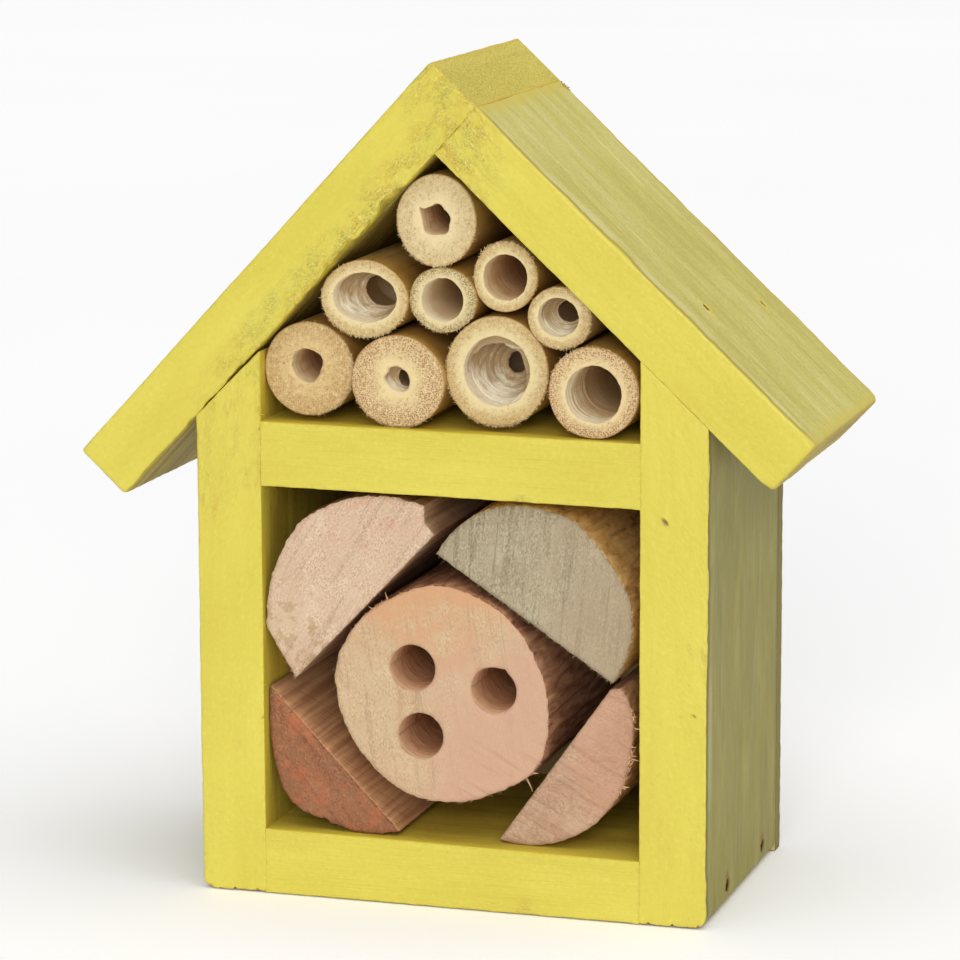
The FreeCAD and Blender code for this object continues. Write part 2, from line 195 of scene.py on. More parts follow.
class Look:
    """One procedural material, built node by node. Its place is the object's own, or the
    mesh's flow, which follows the grain; both are in millimetres."""

    def __init__(self, name, coords="flow"):
        self.material = bpy.data.materials.new(name)
        self.material.use_nodes = True
        self.tree = self.material.node_tree
        self.tree.nodes.clear()
        if coords == "object":
            place = self.node("TexCoord", {}, "Object")
            self.place = self.node("VectorMath", {0: place, "Scale": 1 / MM}, 0, operation="SCALE")
        else:
            self.place = self.attribute(coords)

    def node(self, kind, inputs, out=0, **settings):
        """Add a node and give its output; an input is another node's output or a value."""
        made = self.tree.nodes.new("ShaderNode" + kind)
        for key, value in settings.items():
            setattr(made, key, value)
        for key, value in inputs.items():
            if isinstance(value, bpy.types.NodeSocket):
                self.tree.links.new(value, made.inputs[key])
            else:
                made.inputs[key].default_value = value
        return made.outputs[out]

    def attribute(self, name, out="Vector"):
        return self.node("Attribute", {}, out, attribute_name=name)

    def scalar(self, name):
        """One of the mesh's own numbers: edge, torn, ring, mark or rear."""
        return self.attribute(name, "Fac")

    def along(self, axis):
        """The place along axis 0, 1 or 2, in millimetres."""
        return self.node("SeparateXYZ", {0: self.place}, axis)

    def mapped(self, scale=(1, 1, 1), turn=(0, 0, 0), shift=(0, 0, 0), vector=None):
        """The place, or another vector, scaled, turned and shifted."""
        return self.node("Mapping", {"Vector": vector or self.place, "Scale": scale,
                                     "Rotation": turn, "Location": shift})

    def noise(self, scale, detail=3.0, rough=0.5, distort=0.0, vector=None):
        """Noise, 0 to 1; scale is its fineness per millimetre, for each axis or for all."""
        if not isinstance(scale, (int, float)):
            vector = self.mapped(scale, vector=vector)
            scale = 1.0
        return self.node("TexNoise", {"Vector": vector or self.place, "Scale": scale,
                                      "Detail": detail, "Roughness": rough,
                                      "Distortion": distort})

    def cells(self, scale, vector=None, jitter=1.0):
        """Distance to the nearest of scattered points, scale of them per millimetre."""
        return self.node("TexVoronoi", {"Vector": vector or self.place, "Scale": scale,
                                        "Randomness": jitter}, "Distance")

    def maths(self, operation, first, second=0.0):
        return self.node("Math", {0: first, 1: second}, operation=operation)

    def times(self, first, second):
        return self.maths("MULTIPLY", first, second)

    def plus(self, first, second):
        return self.maths("ADD", first, second)

    def step(self, value, low, high, to_low=0.0, to_high=1.0):
        """A soft step as value goes from low to high."""
        return self.node("MapRange", {"Value": value, "From Min": low, "From Max": high,
                                      "To Min": to_low, "To Max": to_high},
                         interpolation_type="SMOOTHSTEP")

    def spread(self, texture, to_low, to_high):
        """A texture's middle range, stretched to run from to_low to to_high."""
        return self.step(texture, 0.3, 0.7, to_low, to_high)

    def mix(self, factor, first, second):
        """The first colour at factor 0 and the second at 1."""
        return self.node("MixRGB", {"Fac": factor, "Color1": first, "Color2": second})

    def layers(self, colour, *layers):
        """Lay colours over the first. A layer is (value, low, high, amount, colour), which
        shows as value goes from low to high, or (factor, colour)."""
        for *where, over in layers:
            factor = where[0] if len(where) == 1 else self.step(*where[:3], 0, where[3])
            colour = self.mix(factor, colour, over)
        return colour

    def ramp(self, value, *stops):
        """A colour that changes with value; stops are (value, colour)."""
        made = self.tree.nodes.new("ShaderNodeValToRGB")
        self.tree.links.new(value, made.inputs[0])
        points = made.color_ramp.elements
        while len(points) < len(stops):
            points.new(0.5)
        for point, (place, colour) in zip(points, stops):
            point.position = place
            point.color = colour
        return made.outputs[0]

    def finish(self, colour, roughness, heights=(), specular=0.5, **more):
        """Close the material; heights are (height, millimetres) pairs, coarse to fine."""
        inputs = {"Base Color": colour, "Roughness": roughness, "Specular IOR Level": specular,
                  **more}
        under = {}
        for height, size in heights:
            bump = {"Height": height, "Distance": size * MM, "Strength": 1.0, **under}
            under = {"Normal": self.node("Bump", bump)}
        shader = self.node("BsdfPrincipled", {**inputs, **under})
        end = self.tree.nodes.new("ShaderNodeOutputMaterial")
        self.tree.links.new(shader, end.inputs["Surface"])
        return self.material


def front_paint(name, brushed):
    """Opaque yellow paint over sawn wood; brushed is how much the grain lifts it."""
    look = Look(name)
    slow = look.noise((0.03, 0.10, 0.10), 4, 0.55)
    lumps = look.noise(1.1, 4, 0.6)
    grain = look.noise((0.07, 1.7, 1.7), 3, 0.6)
    specks = look.cells(0.30)
    patches = look.noise(0.07, 2)
    marks = look.times(look.step(specks, 0.09, 0.04), look.step(patches, 0.50, 0.66))
    scratches = look.noise((0.35, 2.6, 2.6), 3, 0.6, vector=look.mapped(shift=(7, 2, 5)))
    wear = look.plus(look.scalar("edge"), look.spread(look.noise(0.8, 3), 0.0, 1.4))
    clusters = look.step(look.noise((0.22, 0.36, 0.36), 3, 0.55), 0.40, 0.62, 0.25, 1.0)
    rough = look.times(look.scalar("torn"), clusters)
    tinge = look.step(look.noise((0.10, 0.22, 0.22), 4, 0.6), 0.42, 0.62, 0, 0.65)
    crumbs = look.noise((1.1, 1.8, 1.8), 5, 0.66, 0.4)
    flakes = look.times(rough, look.step(crumbs, 0.50, 0.56))
    # painted highlight on the rims of the torn paint flakes
    highlight_rims = look.times(flakes, look.step(crumbs, 0.64, 0.56))
    # painted shade in the pits between the flakes, which also dip a little
    shaded_pits = look.times(rough, look.step(crumbs, 0.43, 0.38))
    clots = look.times(rough, look.noise((0.5, 0.8, 0.8), 3, 0.6))
    lumpy = look.times(lumps, look.step(patches, 0.42, 0.62, 0.35, 1.0))
    colour = look.layers(
        look.ramp(slow, (0.28, rgb(203, 188, 69)), (0.52, rgb(208, 194, 74)),
                  (0.76, rgb(213, 200, 82))),
        (lumps, 0.52, 0.74, 0.3, rgb(224, 214, 112)),
        (lumps, 0.46, 0.26, 0.25, rgb(184, 168, 56)),
        (grain, 0.4, 0.24, 2.2 * brushed, rgb(174, 160, 54)),
        (look.times(marks, 0.25), rgb(140, 138, 76)),
        (scratches, 0.3, 0.22, 0.6, rgb(160, 146, 56)),
        (wear, 1.0, 0.3, 0.4, rgb(190, 168, 56)),
        (look.times(rough, tinge), rgb(218, 182, 62)),
        # the rims' painted highlight
        (look.times(highlight_rims, 0.6), rgb(236, 226, 140)),
        # the pits' painted shade
        (look.times(shaded_pits, 0.24), rgb(190, 166, 50)),
        (look.scalar("mark"), rgb(136, 102, 36)))
    return look.finish(colour, look.spread(lumps, 0.34, 0.50),
                       [(slow, 0.35), (clots, 0.42), (grain, brushed), (flakes, 0.13),
                        (shaded_pits, -0.04), (lumpy, 0.12), (look.noise(4.5, 3), 0.03)], specular=0.4)


def stained_face(name, pale, middle, dark, line, streak=0.30, worn=0.6, rim=rgb(176, 128, 44),
                 short=1.0, core=rgb(48, 30, 16), far=rgb(198, 164, 66), ends=0.0):
    """Thin see-through stain on planed wood, with the front paint lapping over the edge. line
    is the dark edge of the lap, on the right side a painted shade of the rounded edge, worn how
    far the wood behind it is rubbed pale, rim and core the torn edge and the middle of a nail
    mark, short how many times shorter than usual the streaks are, far the colour along the rear
    edge, and ends how much paint covers both ends."""
    look = Look(name)
    broad = look.noise((0.010 * short, 0.16, 0.14), 3, 0.55, 0.4)
    fine = look.noise((0.030 * short, 1.3, 1.1), 5, 0.68, 0.15)
    hair = look.noise((0.14 * short, 4.0, 3.6), 4, 0.7)
    brushed = look.noise((0.022 * short, 0.42, 0.36), 5, 0.66, 0.3,
                         vector=look.mapped(shift=(11, 5, 2)))
    ochre = look.noise((0.012 * short, 0.55, 0.5), 3, 0.55, vector=look.mapped(shift=(40, 3, 7)))
    speck = look.noise((1.6, 2.8, 2.8), 4, 0.8)
    colour = look.layers(
        look.ramp(broad, (0.15, dark), (0.5, middle), (0.85, pale)),
        (fine, 0.5, 0.28, streak, dark),
        (fine, 0.54, 0.72, streak, pale),
        (brushed, 0.54, 0.66, 1.1 * streak, shade(pale, 1.08)),
        (brushed, 0.46, 0.34, 1.1 * streak, dark),
        (ochre, 0.56, 0.68, 0.35, line),
        (hair, 0.42, 0.24, 0.75 * streak, shade(dark, 0.5)),
        (speck, 0.44, 0.34, 1.15 * streak, shade(dark, 0.6)),
        (speck, 0.55, 0.66, streak, shade(pale, 1.25)))
    wobble = look.noise((0.10, 0.5, 0.0), 3)
    from_front = look.plus(look.along(2), look.spread(wobble, -0.7, 0.7))
    if worn:
        rubbed = look.times(look.step(from_front, 1.6, 2.3), look.step(from_front, 5.4, 3.6))
        patches = look.step(look.noise((0.05, 0.25, 0.0), 3, 0.6), 0.42, 0.62, 0.15, 1.0)
        rubbed = look.times(rubbed, patches)
        bare = tuple(0.45 * p + 0.55 * w for p, w in zip(pale, rgb(214, 208, 168)))
        # the lap's edge in the line colour; on the right side that line is painted shade on the
        # rounded edge
        band = look.times(look.step(from_front, 0.1, 0.5), look.step(from_front, 2.1, 1.5))
        colour = look.layers(
            colour,
            (look.times(rubbed, worn), bare),
            (look.times(band, 0.8), line),
            (from_front, 0.35, 0.1, 1, rgb(209, 194, 74)))
    else:
        colour = look.layers(colour, (from_front, 3.4, 0.5, 1, rgb(206, 186, 62)))
    if ends:
        from_end = look.plus(look.scalar("edge"),
                             look.spread(look.noise((0.4, 0.2, 0.5), 4, 0.65), -1.2, 1.2))
        colour = look.layers(colour, (from_end, 3.6, 0.8, ends, rgb(207, 188, 84)))
    mark = look.scalar("mark")
    rear = look.maths("SUBTRACT", look.scalar("rear"), look.spread(wobble, 0.0, 1.2))
    colour = look.layers(
        colour,
        (mark, 0.12, 0.3, 0.85, rim),
        (mark, 0.38, 0.62, 1, core),
        (rear, 0.9, 0.2, 0.7, far))
    return look.finish(colour, look.spread(fine, 0.5, 0.66),
                       [(broad, 0.5 * streak), (fine, 0.27 * streak), (hair, 0.13 * streak)],
                       specular=0.3)


def end_grain(name, light, dark, speck):
    """Sawn end grain that drank the paint: sandy, with open pores."""
    look = Look(name, "object")
    sand = look.noise(1.9, 5, 0.8)
    pores = look.noise(2.6, 3, 0.65)
    rings = look.noise((0.10, 0.02, 0.22), 3, 0.5, 0.8)
    rim = look.plus(look.scalar("edge"), look.spread(sand, -0.5, 0.5))
    colour = look.layers(
        dark,
        (rings, 0.35, 0.65, 1, light),
        (sand, 0.48, 0.6, 0.8, shade(light, 1.18)),
        (pores, 0.48, 0.4, 0.55, speck),
        (rim, 1.0, 0.2, 0.6, rgb(214, 180, 64)))
    return look.finish(colour, look.spread(sand, 0.6, 0.8),
                       [(rings, 0.1), (sand, 0.20), (pores, 0.12)], specular=0.25)


def plywood(name, layered=False):
    """Bare poplar veneer, or the cut edge where its layers show."""
    look = Look(name, "object")
    if layered:
        depth = look.along(1)
        wobble = look.spread(look.noise(0.4, 2), -0.15, 0.15)
        layer = look.maths("SINE", look.times(look.plus(depth, wobble), 4.7))
        hair = look.noise(2.4, 4, 0.65)
        colour = look.layers(
            rgb(128, 117, 60),
            (layer, -0.3, 0.3, 1, rgb(146, 135, 74)),
            (hair, 0.45, 0.3, 0.35, rgb(112, 96, 50)))
        return look.finish(colour, 0.7, [(layer, 0.12), (hair, 0.12)], specular=0.25)
    figure = look.noise((0.05, 0.05, 0.006), 4, 0.55, 1.2)
    hair = look.noise((2.2, 2.2, 0.05), 3, 0.6)
    stain = look.noise(0.035, 4, 0.6)
    colour = look.layers(
        look.ramp(figure, (0.3, rgb(186, 158, 100)), (0.5, rgb(206, 182, 126)),
                  (0.7, rgb(219, 198, 146))),
        (hair, 0.46, 0.28, 0.45, rgb(158, 126, 76)),
        (stain, 0.56, 0.72, 0.5, rgb(200, 188, 86)))
    return look.finish(colour, look.spread(hair, 0.55, 0.72),
                       [(figure, 0.1), (hair, 0.06)], specular=0.3)


def cane_end(name, light, tan, dot, dots, fineness, smooth_to):
    """A sawn bamboo end: a smooth pale inner ring and dark bundles crowding to the skin."""
    look = Look(name, "object")
    flat = look.mapped((1.0, 0.25, 1.0))
    ring = look.scalar("ring")
    slow = look.noise(0.30, 3)
    drift = look.plus(ring, look.spread(slow, -0.10, 0.10))
    crumbs = look.noise(1.5, 5, 0.75)
    outer = look.step(drift, 0.0, smooth_to, 0.25, 1.0)
    bundle = look.cells(fineness, vector=flat, jitter=0.7)
    mask = look.times(look.step(bundle, 0.52, 0.24), look.step(drift, 0.12, 0.66, 0.0, dots))
    pores = look.cells(0.9, vector=flat)
    colour = look.layers(
        light,
        (drift, 0.2, 0.9, 1, tan),
        (look.times(look.step(crumbs, 0.52, 0.66, 0, 0.8), outer), rgb(234, 216, 168)),
        (look.times(look.step(crumbs, 0.47, 0.35, 0, 0.6), outer), rgb(168, 126, 74)),
        (mask, dot),
        (pores, 0.14, 0.07, 0.6, rgb(120, 84, 50)),
        (ring, 0.93, 1.0, 0.6, rgb(172, 130, 74)))
    return look.finish(colour, 0.75, [(look.times(crumbs, outer), 0.34), (bundle, 0.05),
                                      (look.noise(5.5, 3, 0.7), 0.05)], specular=0.2)


def cane_skin():
    """Satin bamboo skin with faint lengthwise lines."""
    look = Look("cane_skin", "object")
    lines = look.noise((1.6, 0.02, 1.6), 4, 0.6)
    slow = look.noise((0.12, 0.03, 0.12), 3, 0.5)
    spots = look.cells(0.5)
    colour = look.layers(
        look.ramp(slow, (0.3, rgb(166, 124, 52)), (0.52, rgb(190, 148, 74)),
                  (0.72, rgb(206, 172, 104))),
        (lines, 0.46, 0.28, 0.5, rgb(138, 96, 38)),
        (spots, 0.12, 0.05, 0.5, rgb(112, 76, 36)))
    return look.finish(colour, look.spread(lines, 0.34, 0.5), [(lines, 0.06)], specular=0.45)


def cane_bore(name, mouth, middle, deep, ribbed):
    """The inside wall: papery near the mouth and browner further in, which is partly painted
    light at the mouth and painted shade deep in; ribbed is how strongly it is ridged round the
    bore."""
    look = Look(name)
    depth = look.along(1)
    ribs = look.noise((0.10, 1.3, 0.5), 4, 0.6, 0.4)
    stripes = look.noise((0.9, 0.04, 0.3), 3, 0.6)
    cloud = look.noise((0.25, 0.12, 0.3), 3)
    # how far in; the wall darkens deeper in, a painted shade in the bore
    into = look.step(look.plus(depth, look.spread(cloud, -3, 3)), 0.0, 20.0)
    colour = look.layers(
        look.ramp(into, (0.0, mouth), (0.4, middle), (1.0, deep)),
        (stripes, 0.47, 0.3, 0.25, deep),
        (ribs, 0.52, 0.66, ribbed, rgb(238, 226, 196)),
        (ribs, 0.47, 0.32, ribbed, shade(deep, 0.6)))
    return look.finish(colour, 0.6, [(ribs, 0.5 * ribbed), (stripes, 0.05)], specular=0.2)


def papery():
    """Dry inner skin of the cane, torn at the partition: brown above and white, shiny below; the
    brown is painted shade and the white painted light.
    """
    look = Look("cane_membrane")
    folds = look.noise((0.16, 0.9, 0.3), 4, 0.6, 0.5)
    # the lower part, which gets the white painted light; above it the brown stays as painted shade
    low = look.plus(look.along(2), look.spread(folds, -0.35, 0.35))
    colour = look.layers(
        rgb(164, 136, 96),
        (low, -0.15, -0.9, 1, rgb(238, 228, 200)),
        (folds, 0.46, 0.32, 0.6, rgb(138, 108, 68)),
        (folds, 0.56, 0.7, 0.35, rgb(240, 232, 208)))
    return look.finish(colour, 0.38, [(folds, 0.3)], specular=0.5)


def fibre(name, light, dark):
    """Loose saw fibres and splinters."""
    look = Look(name, "object")
    tone = look.noise(1.4, 3)
    return look.finish(look.mix(look.step(tone, 0.35, 0.65), dark, light), 0.7,
                       [(look.noise(4.0, 2), 0.03)], specular=0.2)


def log_end(name, centre, pitch, light, middle, line, fuzz, streaks, rings_seen=0.3):
    """A sawn log end. Rings run round centre at about one per pitch millimetres; fuzz is how
    much the saw tore it; streaks is (degrees from upright, millimetres apart, strength)."""
    look = Look(name, "object")
    off = look.mapped((1, 0, 1), shift=(-centre[0], 0, -centre[1]))
    radius = look.node("VectorMath", {0: off}, "Value", operation="LENGTH")
    warp = look.noise(0.05, 3, 0.5)
    grown = look.plus(radius, look.step(warp, 0.2, 0.8, -1.6, 1.6))
    rings = look.node("TexNoise", {"W": look.maths("DIVIDE", grown, pitch), "Scale": 1.0,
                                   "Detail": 2.0, "Roughness": 0.55}, noise_dimensions="1D")
    cloud = look.noise(0.12, 4, 0.6, vector=look.mapped(shift=(5, 3, 8)))
    broken = look.noise(0.30, 4, 0.7)
    colour = look.layers(
        middle,
        (cloud, 0.52, 0.68, 0.55, light),
        (cloud, 0.47, 0.32, 0.3, line),
        (look.times(look.step(rings, 0.48, 0.3, 0, rings_seen),
                    look.step(broken, 0.36, 0.56)), line))
    lean, apart, strength = streaks
    turned = look.mapped(turn=(0, math.radians(lean), 0))
    wide = look.noise((1.0 / apart, 0.2, 0.05), 3, 0.6, 0.3, vector=turned)
    thin = look.noise((3.2 / apart, 0.2, 0.05), 3, 0.6, 0.2, vector=turned)
    tear = look.noise((3.2, 2.4, 1.7), 5, 0.78, vector=turned)
    patchy = look.step(look.noise(0.22, 3, 0.6), 0.36, 0.56, 0.45 * fuzz, fuzz)
    edge = look.scalar("edge")
    ragged = look.plus(edge, look.spread(look.noise(1.1, 3), -0.3, 0.5))
    colour = look.layers(
        colour,
        (wide, 0.45, 0.34, strength, line),
        (look.times(look.step(thin, 0.44, 0.37, 0, strength),
                    look.step(broken, 0.36, 0.48, 0.25, 1.0)), shade(line, 0.6)),
        (thin, 0.58, 0.7, strength, light),
        (look.times(look.step(tear, 0.505, 0.6), patchy), shade(light, 1.25)),
        (look.times(look.step(tear, 0.475, 0.39), patchy), shade(line, 0.6)),
        (ragged, 0.7, 0.2, 0.4, line))
    return look, colour, [(rings, 0.02), (thin, 0.05 * strength), (tear, 0.05 + 0.25 * fuzz)]


def bark(name, light, middle, dark, green):
    """Thin bark with ridges along the branch."""
    look = Look(name)
    ridges = look.noise((0.55, 0.10, 0.3), 5, 0.65, 0.6)
    flakes = look.noise((0.35, 0.25, 0.3), 4, 0.6)
    fine = look.noise((3.0, 0.5, 1.0), 4, 0.7)
    colour = look.layers(
        look.ramp(ridges, (0.3, dark), (0.48, middle), (0.66, light)),
        (flakes, 0.52, 0.66, 0.5, green),
        (fine, 0.46, 0.3, 0.5, dark))
    return look.finish(colour, look.spread(fine, 0.6, 0.85),
                       [(ridges, 0.5), (flakes, 0.3), (fine, 0.12)], specular=0.25)


def split_face(name, light, dark):
    """The flat sawn side of a split log, with the blade's slanted lines."""
    look = Look(name)
    slanted = look.mapped(turn=(0, 0, math.radians(38)))
    lines = look.noise((0.04, 1.5, 0.3), 4, 0.65, vector=slanted)
    grain = look.noise((0.7, 0.02, 0.3), 4, 0.6)
    colour = look.layers(
        dark,
        (grain, 0.35, 0.65, 1, light),
        (lines, 0.48, 0.36, 0.35, shade(dark, 0.5)),
        (lines, 0.53, 0.64, 0.25, light))
    return look.finish(colour, 0.7, [(lines, 0.14), (grain, 0.05)], specular=0.25)


def drilled_wall():
    """A drilled hole's side: torn rings left by the bit, browner further in; its colours are made
    light as painted light for the front light that reaches into the holes.
    """
    look = Look("drilled_wall")
    depth = look.along(1)
    rings = look.noise((0.25, 1.3, 0.3), 4, 0.65)
    colour = look.layers(
        look.ramp(look.step(depth, 0, 14), (0.0, rgb(232, 190, 150)), (0.5, rgb(218, 170, 130)),
                  (1.0, rgb(196, 142, 102))),
        (rings, 0.46, 0.34, 0.6, rgb(130, 86, 60)),
        (rings, 0.54, 0.66, 0.5, rgb(240, 206, 170)))
    return look.finish(colour, 0.65, [(rings, 0.35)], specular=0.3)


def metal(name, base, stain, roughness):
    """Plain steel with faint scuffs and a little tarnish."""
    look = Look(name, "object")
    cloud = look.noise(0.9, 4, 0.6)
    scuff = look.noise((0.4, 3.0, 3.0), 3, 0.6)
    colour = look.mix(look.step(cloud, 0.45, 0.7, 0, 0.7), base, stain)
    return look.finish(colour, look.spread(scuff, roughness - 0.1, roughness + 0.15),
                       [(scuff, 0.02)], Metallic=1.0)


def glue_look():
    """Hardened wood glue, yellowish with small bubbles."""
    look = Look("wood_glue", "object")
    cloud = look.noise(0.5, 3)
    bubbles = look.cells(1.2)
    colour = look.layers(
        rgb(208, 182, 112),
        (cloud, 0.35, 0.65, 1, rgb(228, 208, 148)),
        (bubbles, 0.15, 0.05, 0.5, rgb(170, 140, 80)))
    return look.finish(colour, 0.35, [(bubbles, 0.05)])


def floor_look():
    """A plain pale studio floor."""
    look = Look("studio_floor", "object")
    cloud = look.noise(0.002, 2)
    colour = look.mix(look.step(cloud, 0.3, 0.7), rgb(253, 253, 253), rgb(255, 255, 255))
    return look.finish(colour, 0.9, specular=0.1)


# ---------------------------------------------------------------- pieces
class Piece:
    """Collects points and faces and turns them into one object that rides on the frame."""

    def __init__(self, name, looks):
        self.name = name
        self.looks = looks
        self.points, self.faces, self.slots, self.flow = [], [], [], []
        self.scalars = {"edge": [], "torn": [], "ring": [], "mark": [], "rear": []}
        self.count = 0

    def add(self, points, faces, slots, flow=None, **scalars):
        """Add a patch; slots is one material number or one for each face."""
        points = np.asarray(points, float)
        self.points.append(points)
        self.faces.extend([tuple(int(i) + self.count for i in face) for face in faces])
        self.slots.append(np.broadcast_to(np.asarray(slots), (len(faces),)))
        self.flow.append(points if flow is None else flow)
        for key, kept in self.scalars.items():
            value = scalars.get(key, 5.0 if key in ("edge", "rear") else 0.0)
            kept.append(np.broadcast_to(np.asarray(value, float), (len(points),)))
        self.count += len(points)

    def tube(self, rows, flows, slots, more=(), **scalars):
        """Add rings of points, joined into a tube; more are further faces over them."""
        quads = tube_quads(len(rows), len(rows[0]))
        self.add(np.concatenate(rows), [*quads, *more], slots, np.concatenate(flows), **scalars)

    def build(self, *nodes, slot=None):
        """Make the object; it stands in for the frame's nodes. slot is not used."""
        mesh = bpy.data.meshes.new(self.name)
        mesh.from_pydata((np.concatenate(self.points) * MM).tolist(), [], self.faces)
        for look in self.looks:
            mesh.materials.append(look)
        mesh.polygons.foreach_set("material_index", np.concatenate(self.slots).astype(np.int32))
        flow = mesh.attributes.new("flow", "FLOAT_VECTOR", "POINT")
        flow.data.foreach_set("vector", np.concatenate(self.flow).astype(np.float32).ravel())
        for key, kept in self.scalars.items():
            held = mesh.attributes.new(key, "FLOAT", "POINT")
            held.data.foreach_set("value", np.concatenate(kept).astype(np.float32))
        work = bmesh.new()
        work.from_mesh(mesh)
        bmesh.ops.recalc_face_normals(work, faces=work.faces)
        work.to_mesh(mesh)
        work.free()
        mesh.polygons.foreach_set("use_smooth", [True] * len(mesh.polygons))
        thing = bpy.data.objects.new(self.name, mesh)
        bpy.context.scene.collection.objects.link(thing)
        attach(thing, "root")
        if nodes:
            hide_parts(*nodes)
        return thing


def tube_quads(rows, count):
    """Quads between rings of count points."""
    first = np.arange(rows - 1)[:, None] * count
    here = np.arange(count)[None, :]
    after = (here + 1) % count
    quads = np.stack([first + here, first + after, first + count + after, first + count + here],
                     axis=-1)
    return quads.reshape(-1, 4)


def strands(piece, roots, directions, lengths, radius, slot, rng, curl):
    """Thin tapered fibres that stand out of a torn edge."""
    for root, direction, length in zip(roots, directions, lengths):
        direction = np.asarray(direction, float)
        direction = direction / np.linalg.norm(direction)
        side = np.cross(direction, rng.normal(size=3))
        side /= np.linalg.norm(side)
        third = np.cross(direction, side)
        bend = side * rng.uniform(-curl, curl) * length + third * rng.uniform(-curl, curl) * length
        rings = []
        for t in (0.0, 0.35, 0.7, 1.0):
            centre = root + direction * length * t + bend * t * t
            wide = radius * (1 - 0.85 * t)
            for turn in range(3):
                angle = 2 * math.pi * turn / 3
                rings.append(centre + wide * (math.cos(angle) * side + math.sin(angle) * third))
        faces = [*tube_quads(4, 3), (0, 1, 2), (9, 11, 10)]
        piece.add(np.array(rings), faces, slot)


# ---------------------------------------------------------------- boards
EDGE_LINES = (0.0, 0.1, 0.25, 0.45, 0.7, 1.05, 1.5)
END_ZONE = 1.2
SUNK = 0.02  # keeps a board's faces off its neighbours'
# which look is on a board's two ends, outer and inner face, front and rear: 0 front, 1 outer,
# 2 inner, 3 end
SIDE_LOOKS = np.array((3, 3, 1, 2, 0, 1))


def spaced(length, step, marks=()):
    """Places along a board's side, close together at both ends and at the marks."""
    near, far = EDGE_LINES[-1], length - EDGE_LINES[-1]
    count = max(2, round((far - near) / step) + 1)
    lines = list(EDGE_LINES[:-1]) + list(np.linspace(near, far, count))
    lines += [length - e for e in EDGE_LINES[:-1]]
    for mark in marks:
        lines += list(mark + np.arange(-9, 10) * 0.22)
    lines = sorted(line for line in lines if 0 <= line <= length)
    kept = [0.0]
    for line in lines:
        if line - kept[-1] > 0.07 and length - line > 0.07:
            kept.append(line)
    return np.array(kept + [length])


def block(us, vs, ws):
    """Points on the outside of a block, and its quads with the side that each is on."""
    shape = (len(us), len(vs), len(ws))
    outside = np.zeros(shape, bool)
    for axis in range(3):
        view = np.moveaxis(outside, axis, 0)
        view[0] = view[-1] = True
    number = np.full(shape, -1)
    at = np.argwhere(outside)
    number[outside] = np.arange(len(at))
    points = columns(us[at[:, 0]], vs[at[:, 1]], ws[at[:, 2]])
    quads, sides = [], []
    for axis in range(3):
        for end in (0, -1):
            sheet = np.take(number, end, axis)
            quad = np.stack([sheet[:-1, :-1], sheet[1:, :-1], sheet[1:, 1:], sheet[:-1, 1:]], -1)
            quads.append(quad.reshape(-1, 4))
            sides.append(np.full(len(quads[-1]), axis * 2 + (end != 0)))
    return points, np.concatenate(quads), np.concatenate(sides)


def press(dents, height, flat, local, seed):
    """Press dents into height, and give how strongly each point is marked by them."""
    u, v, w = flat.T
    mark = np.zeros(len(flat))
    for side, along, across, (wide, high), depth in dents:
        outer = side == "outer"
        beside, facing = (w, v < 0.01) if outer else (v, w < 0.01)
        gap = np.hypot((u - along) / high, (beside - across) / wide)
        wavy = gap * (1 + 0.16 * fbm(local / 0.9, seed + 6, 2))
        pit = smooth(wavy, 1.12, 0.82)
        rim = smooth(wavy, 1.9, 1.25) * (1 - pit)
        height += facing * (rim * 0.13 * (1 + fbm(local / 0.5, seed + 7, 2)) - pit * depth)
        ring = smooth(wavy, 1.5, 1.15)
        if outer:
            smear = np.hypot((u - along - 1.3 * high) / (1.5 * high), (w - across) / wide)
            ring = np.maximum(ring, smooth(smear, 1.1, 0.7))
        mark = np.maximum(mark, facing * (0.30 * ring + 0.70 * pit))
    return mark


def round_foot(places, radius):
    """Round the corner where u and v are 0."""
    gone = radius - np.minimum(places, radius)
    far = np.hypot(gone[:, 0], gone[:, 1])
    scale = np.where(far > 1e-6, np.max(gone, axis=1) / np.maximum(far, 1e-6), 1.0)
    return np.where(places < radius, radius - gone * scale[:, None], places)


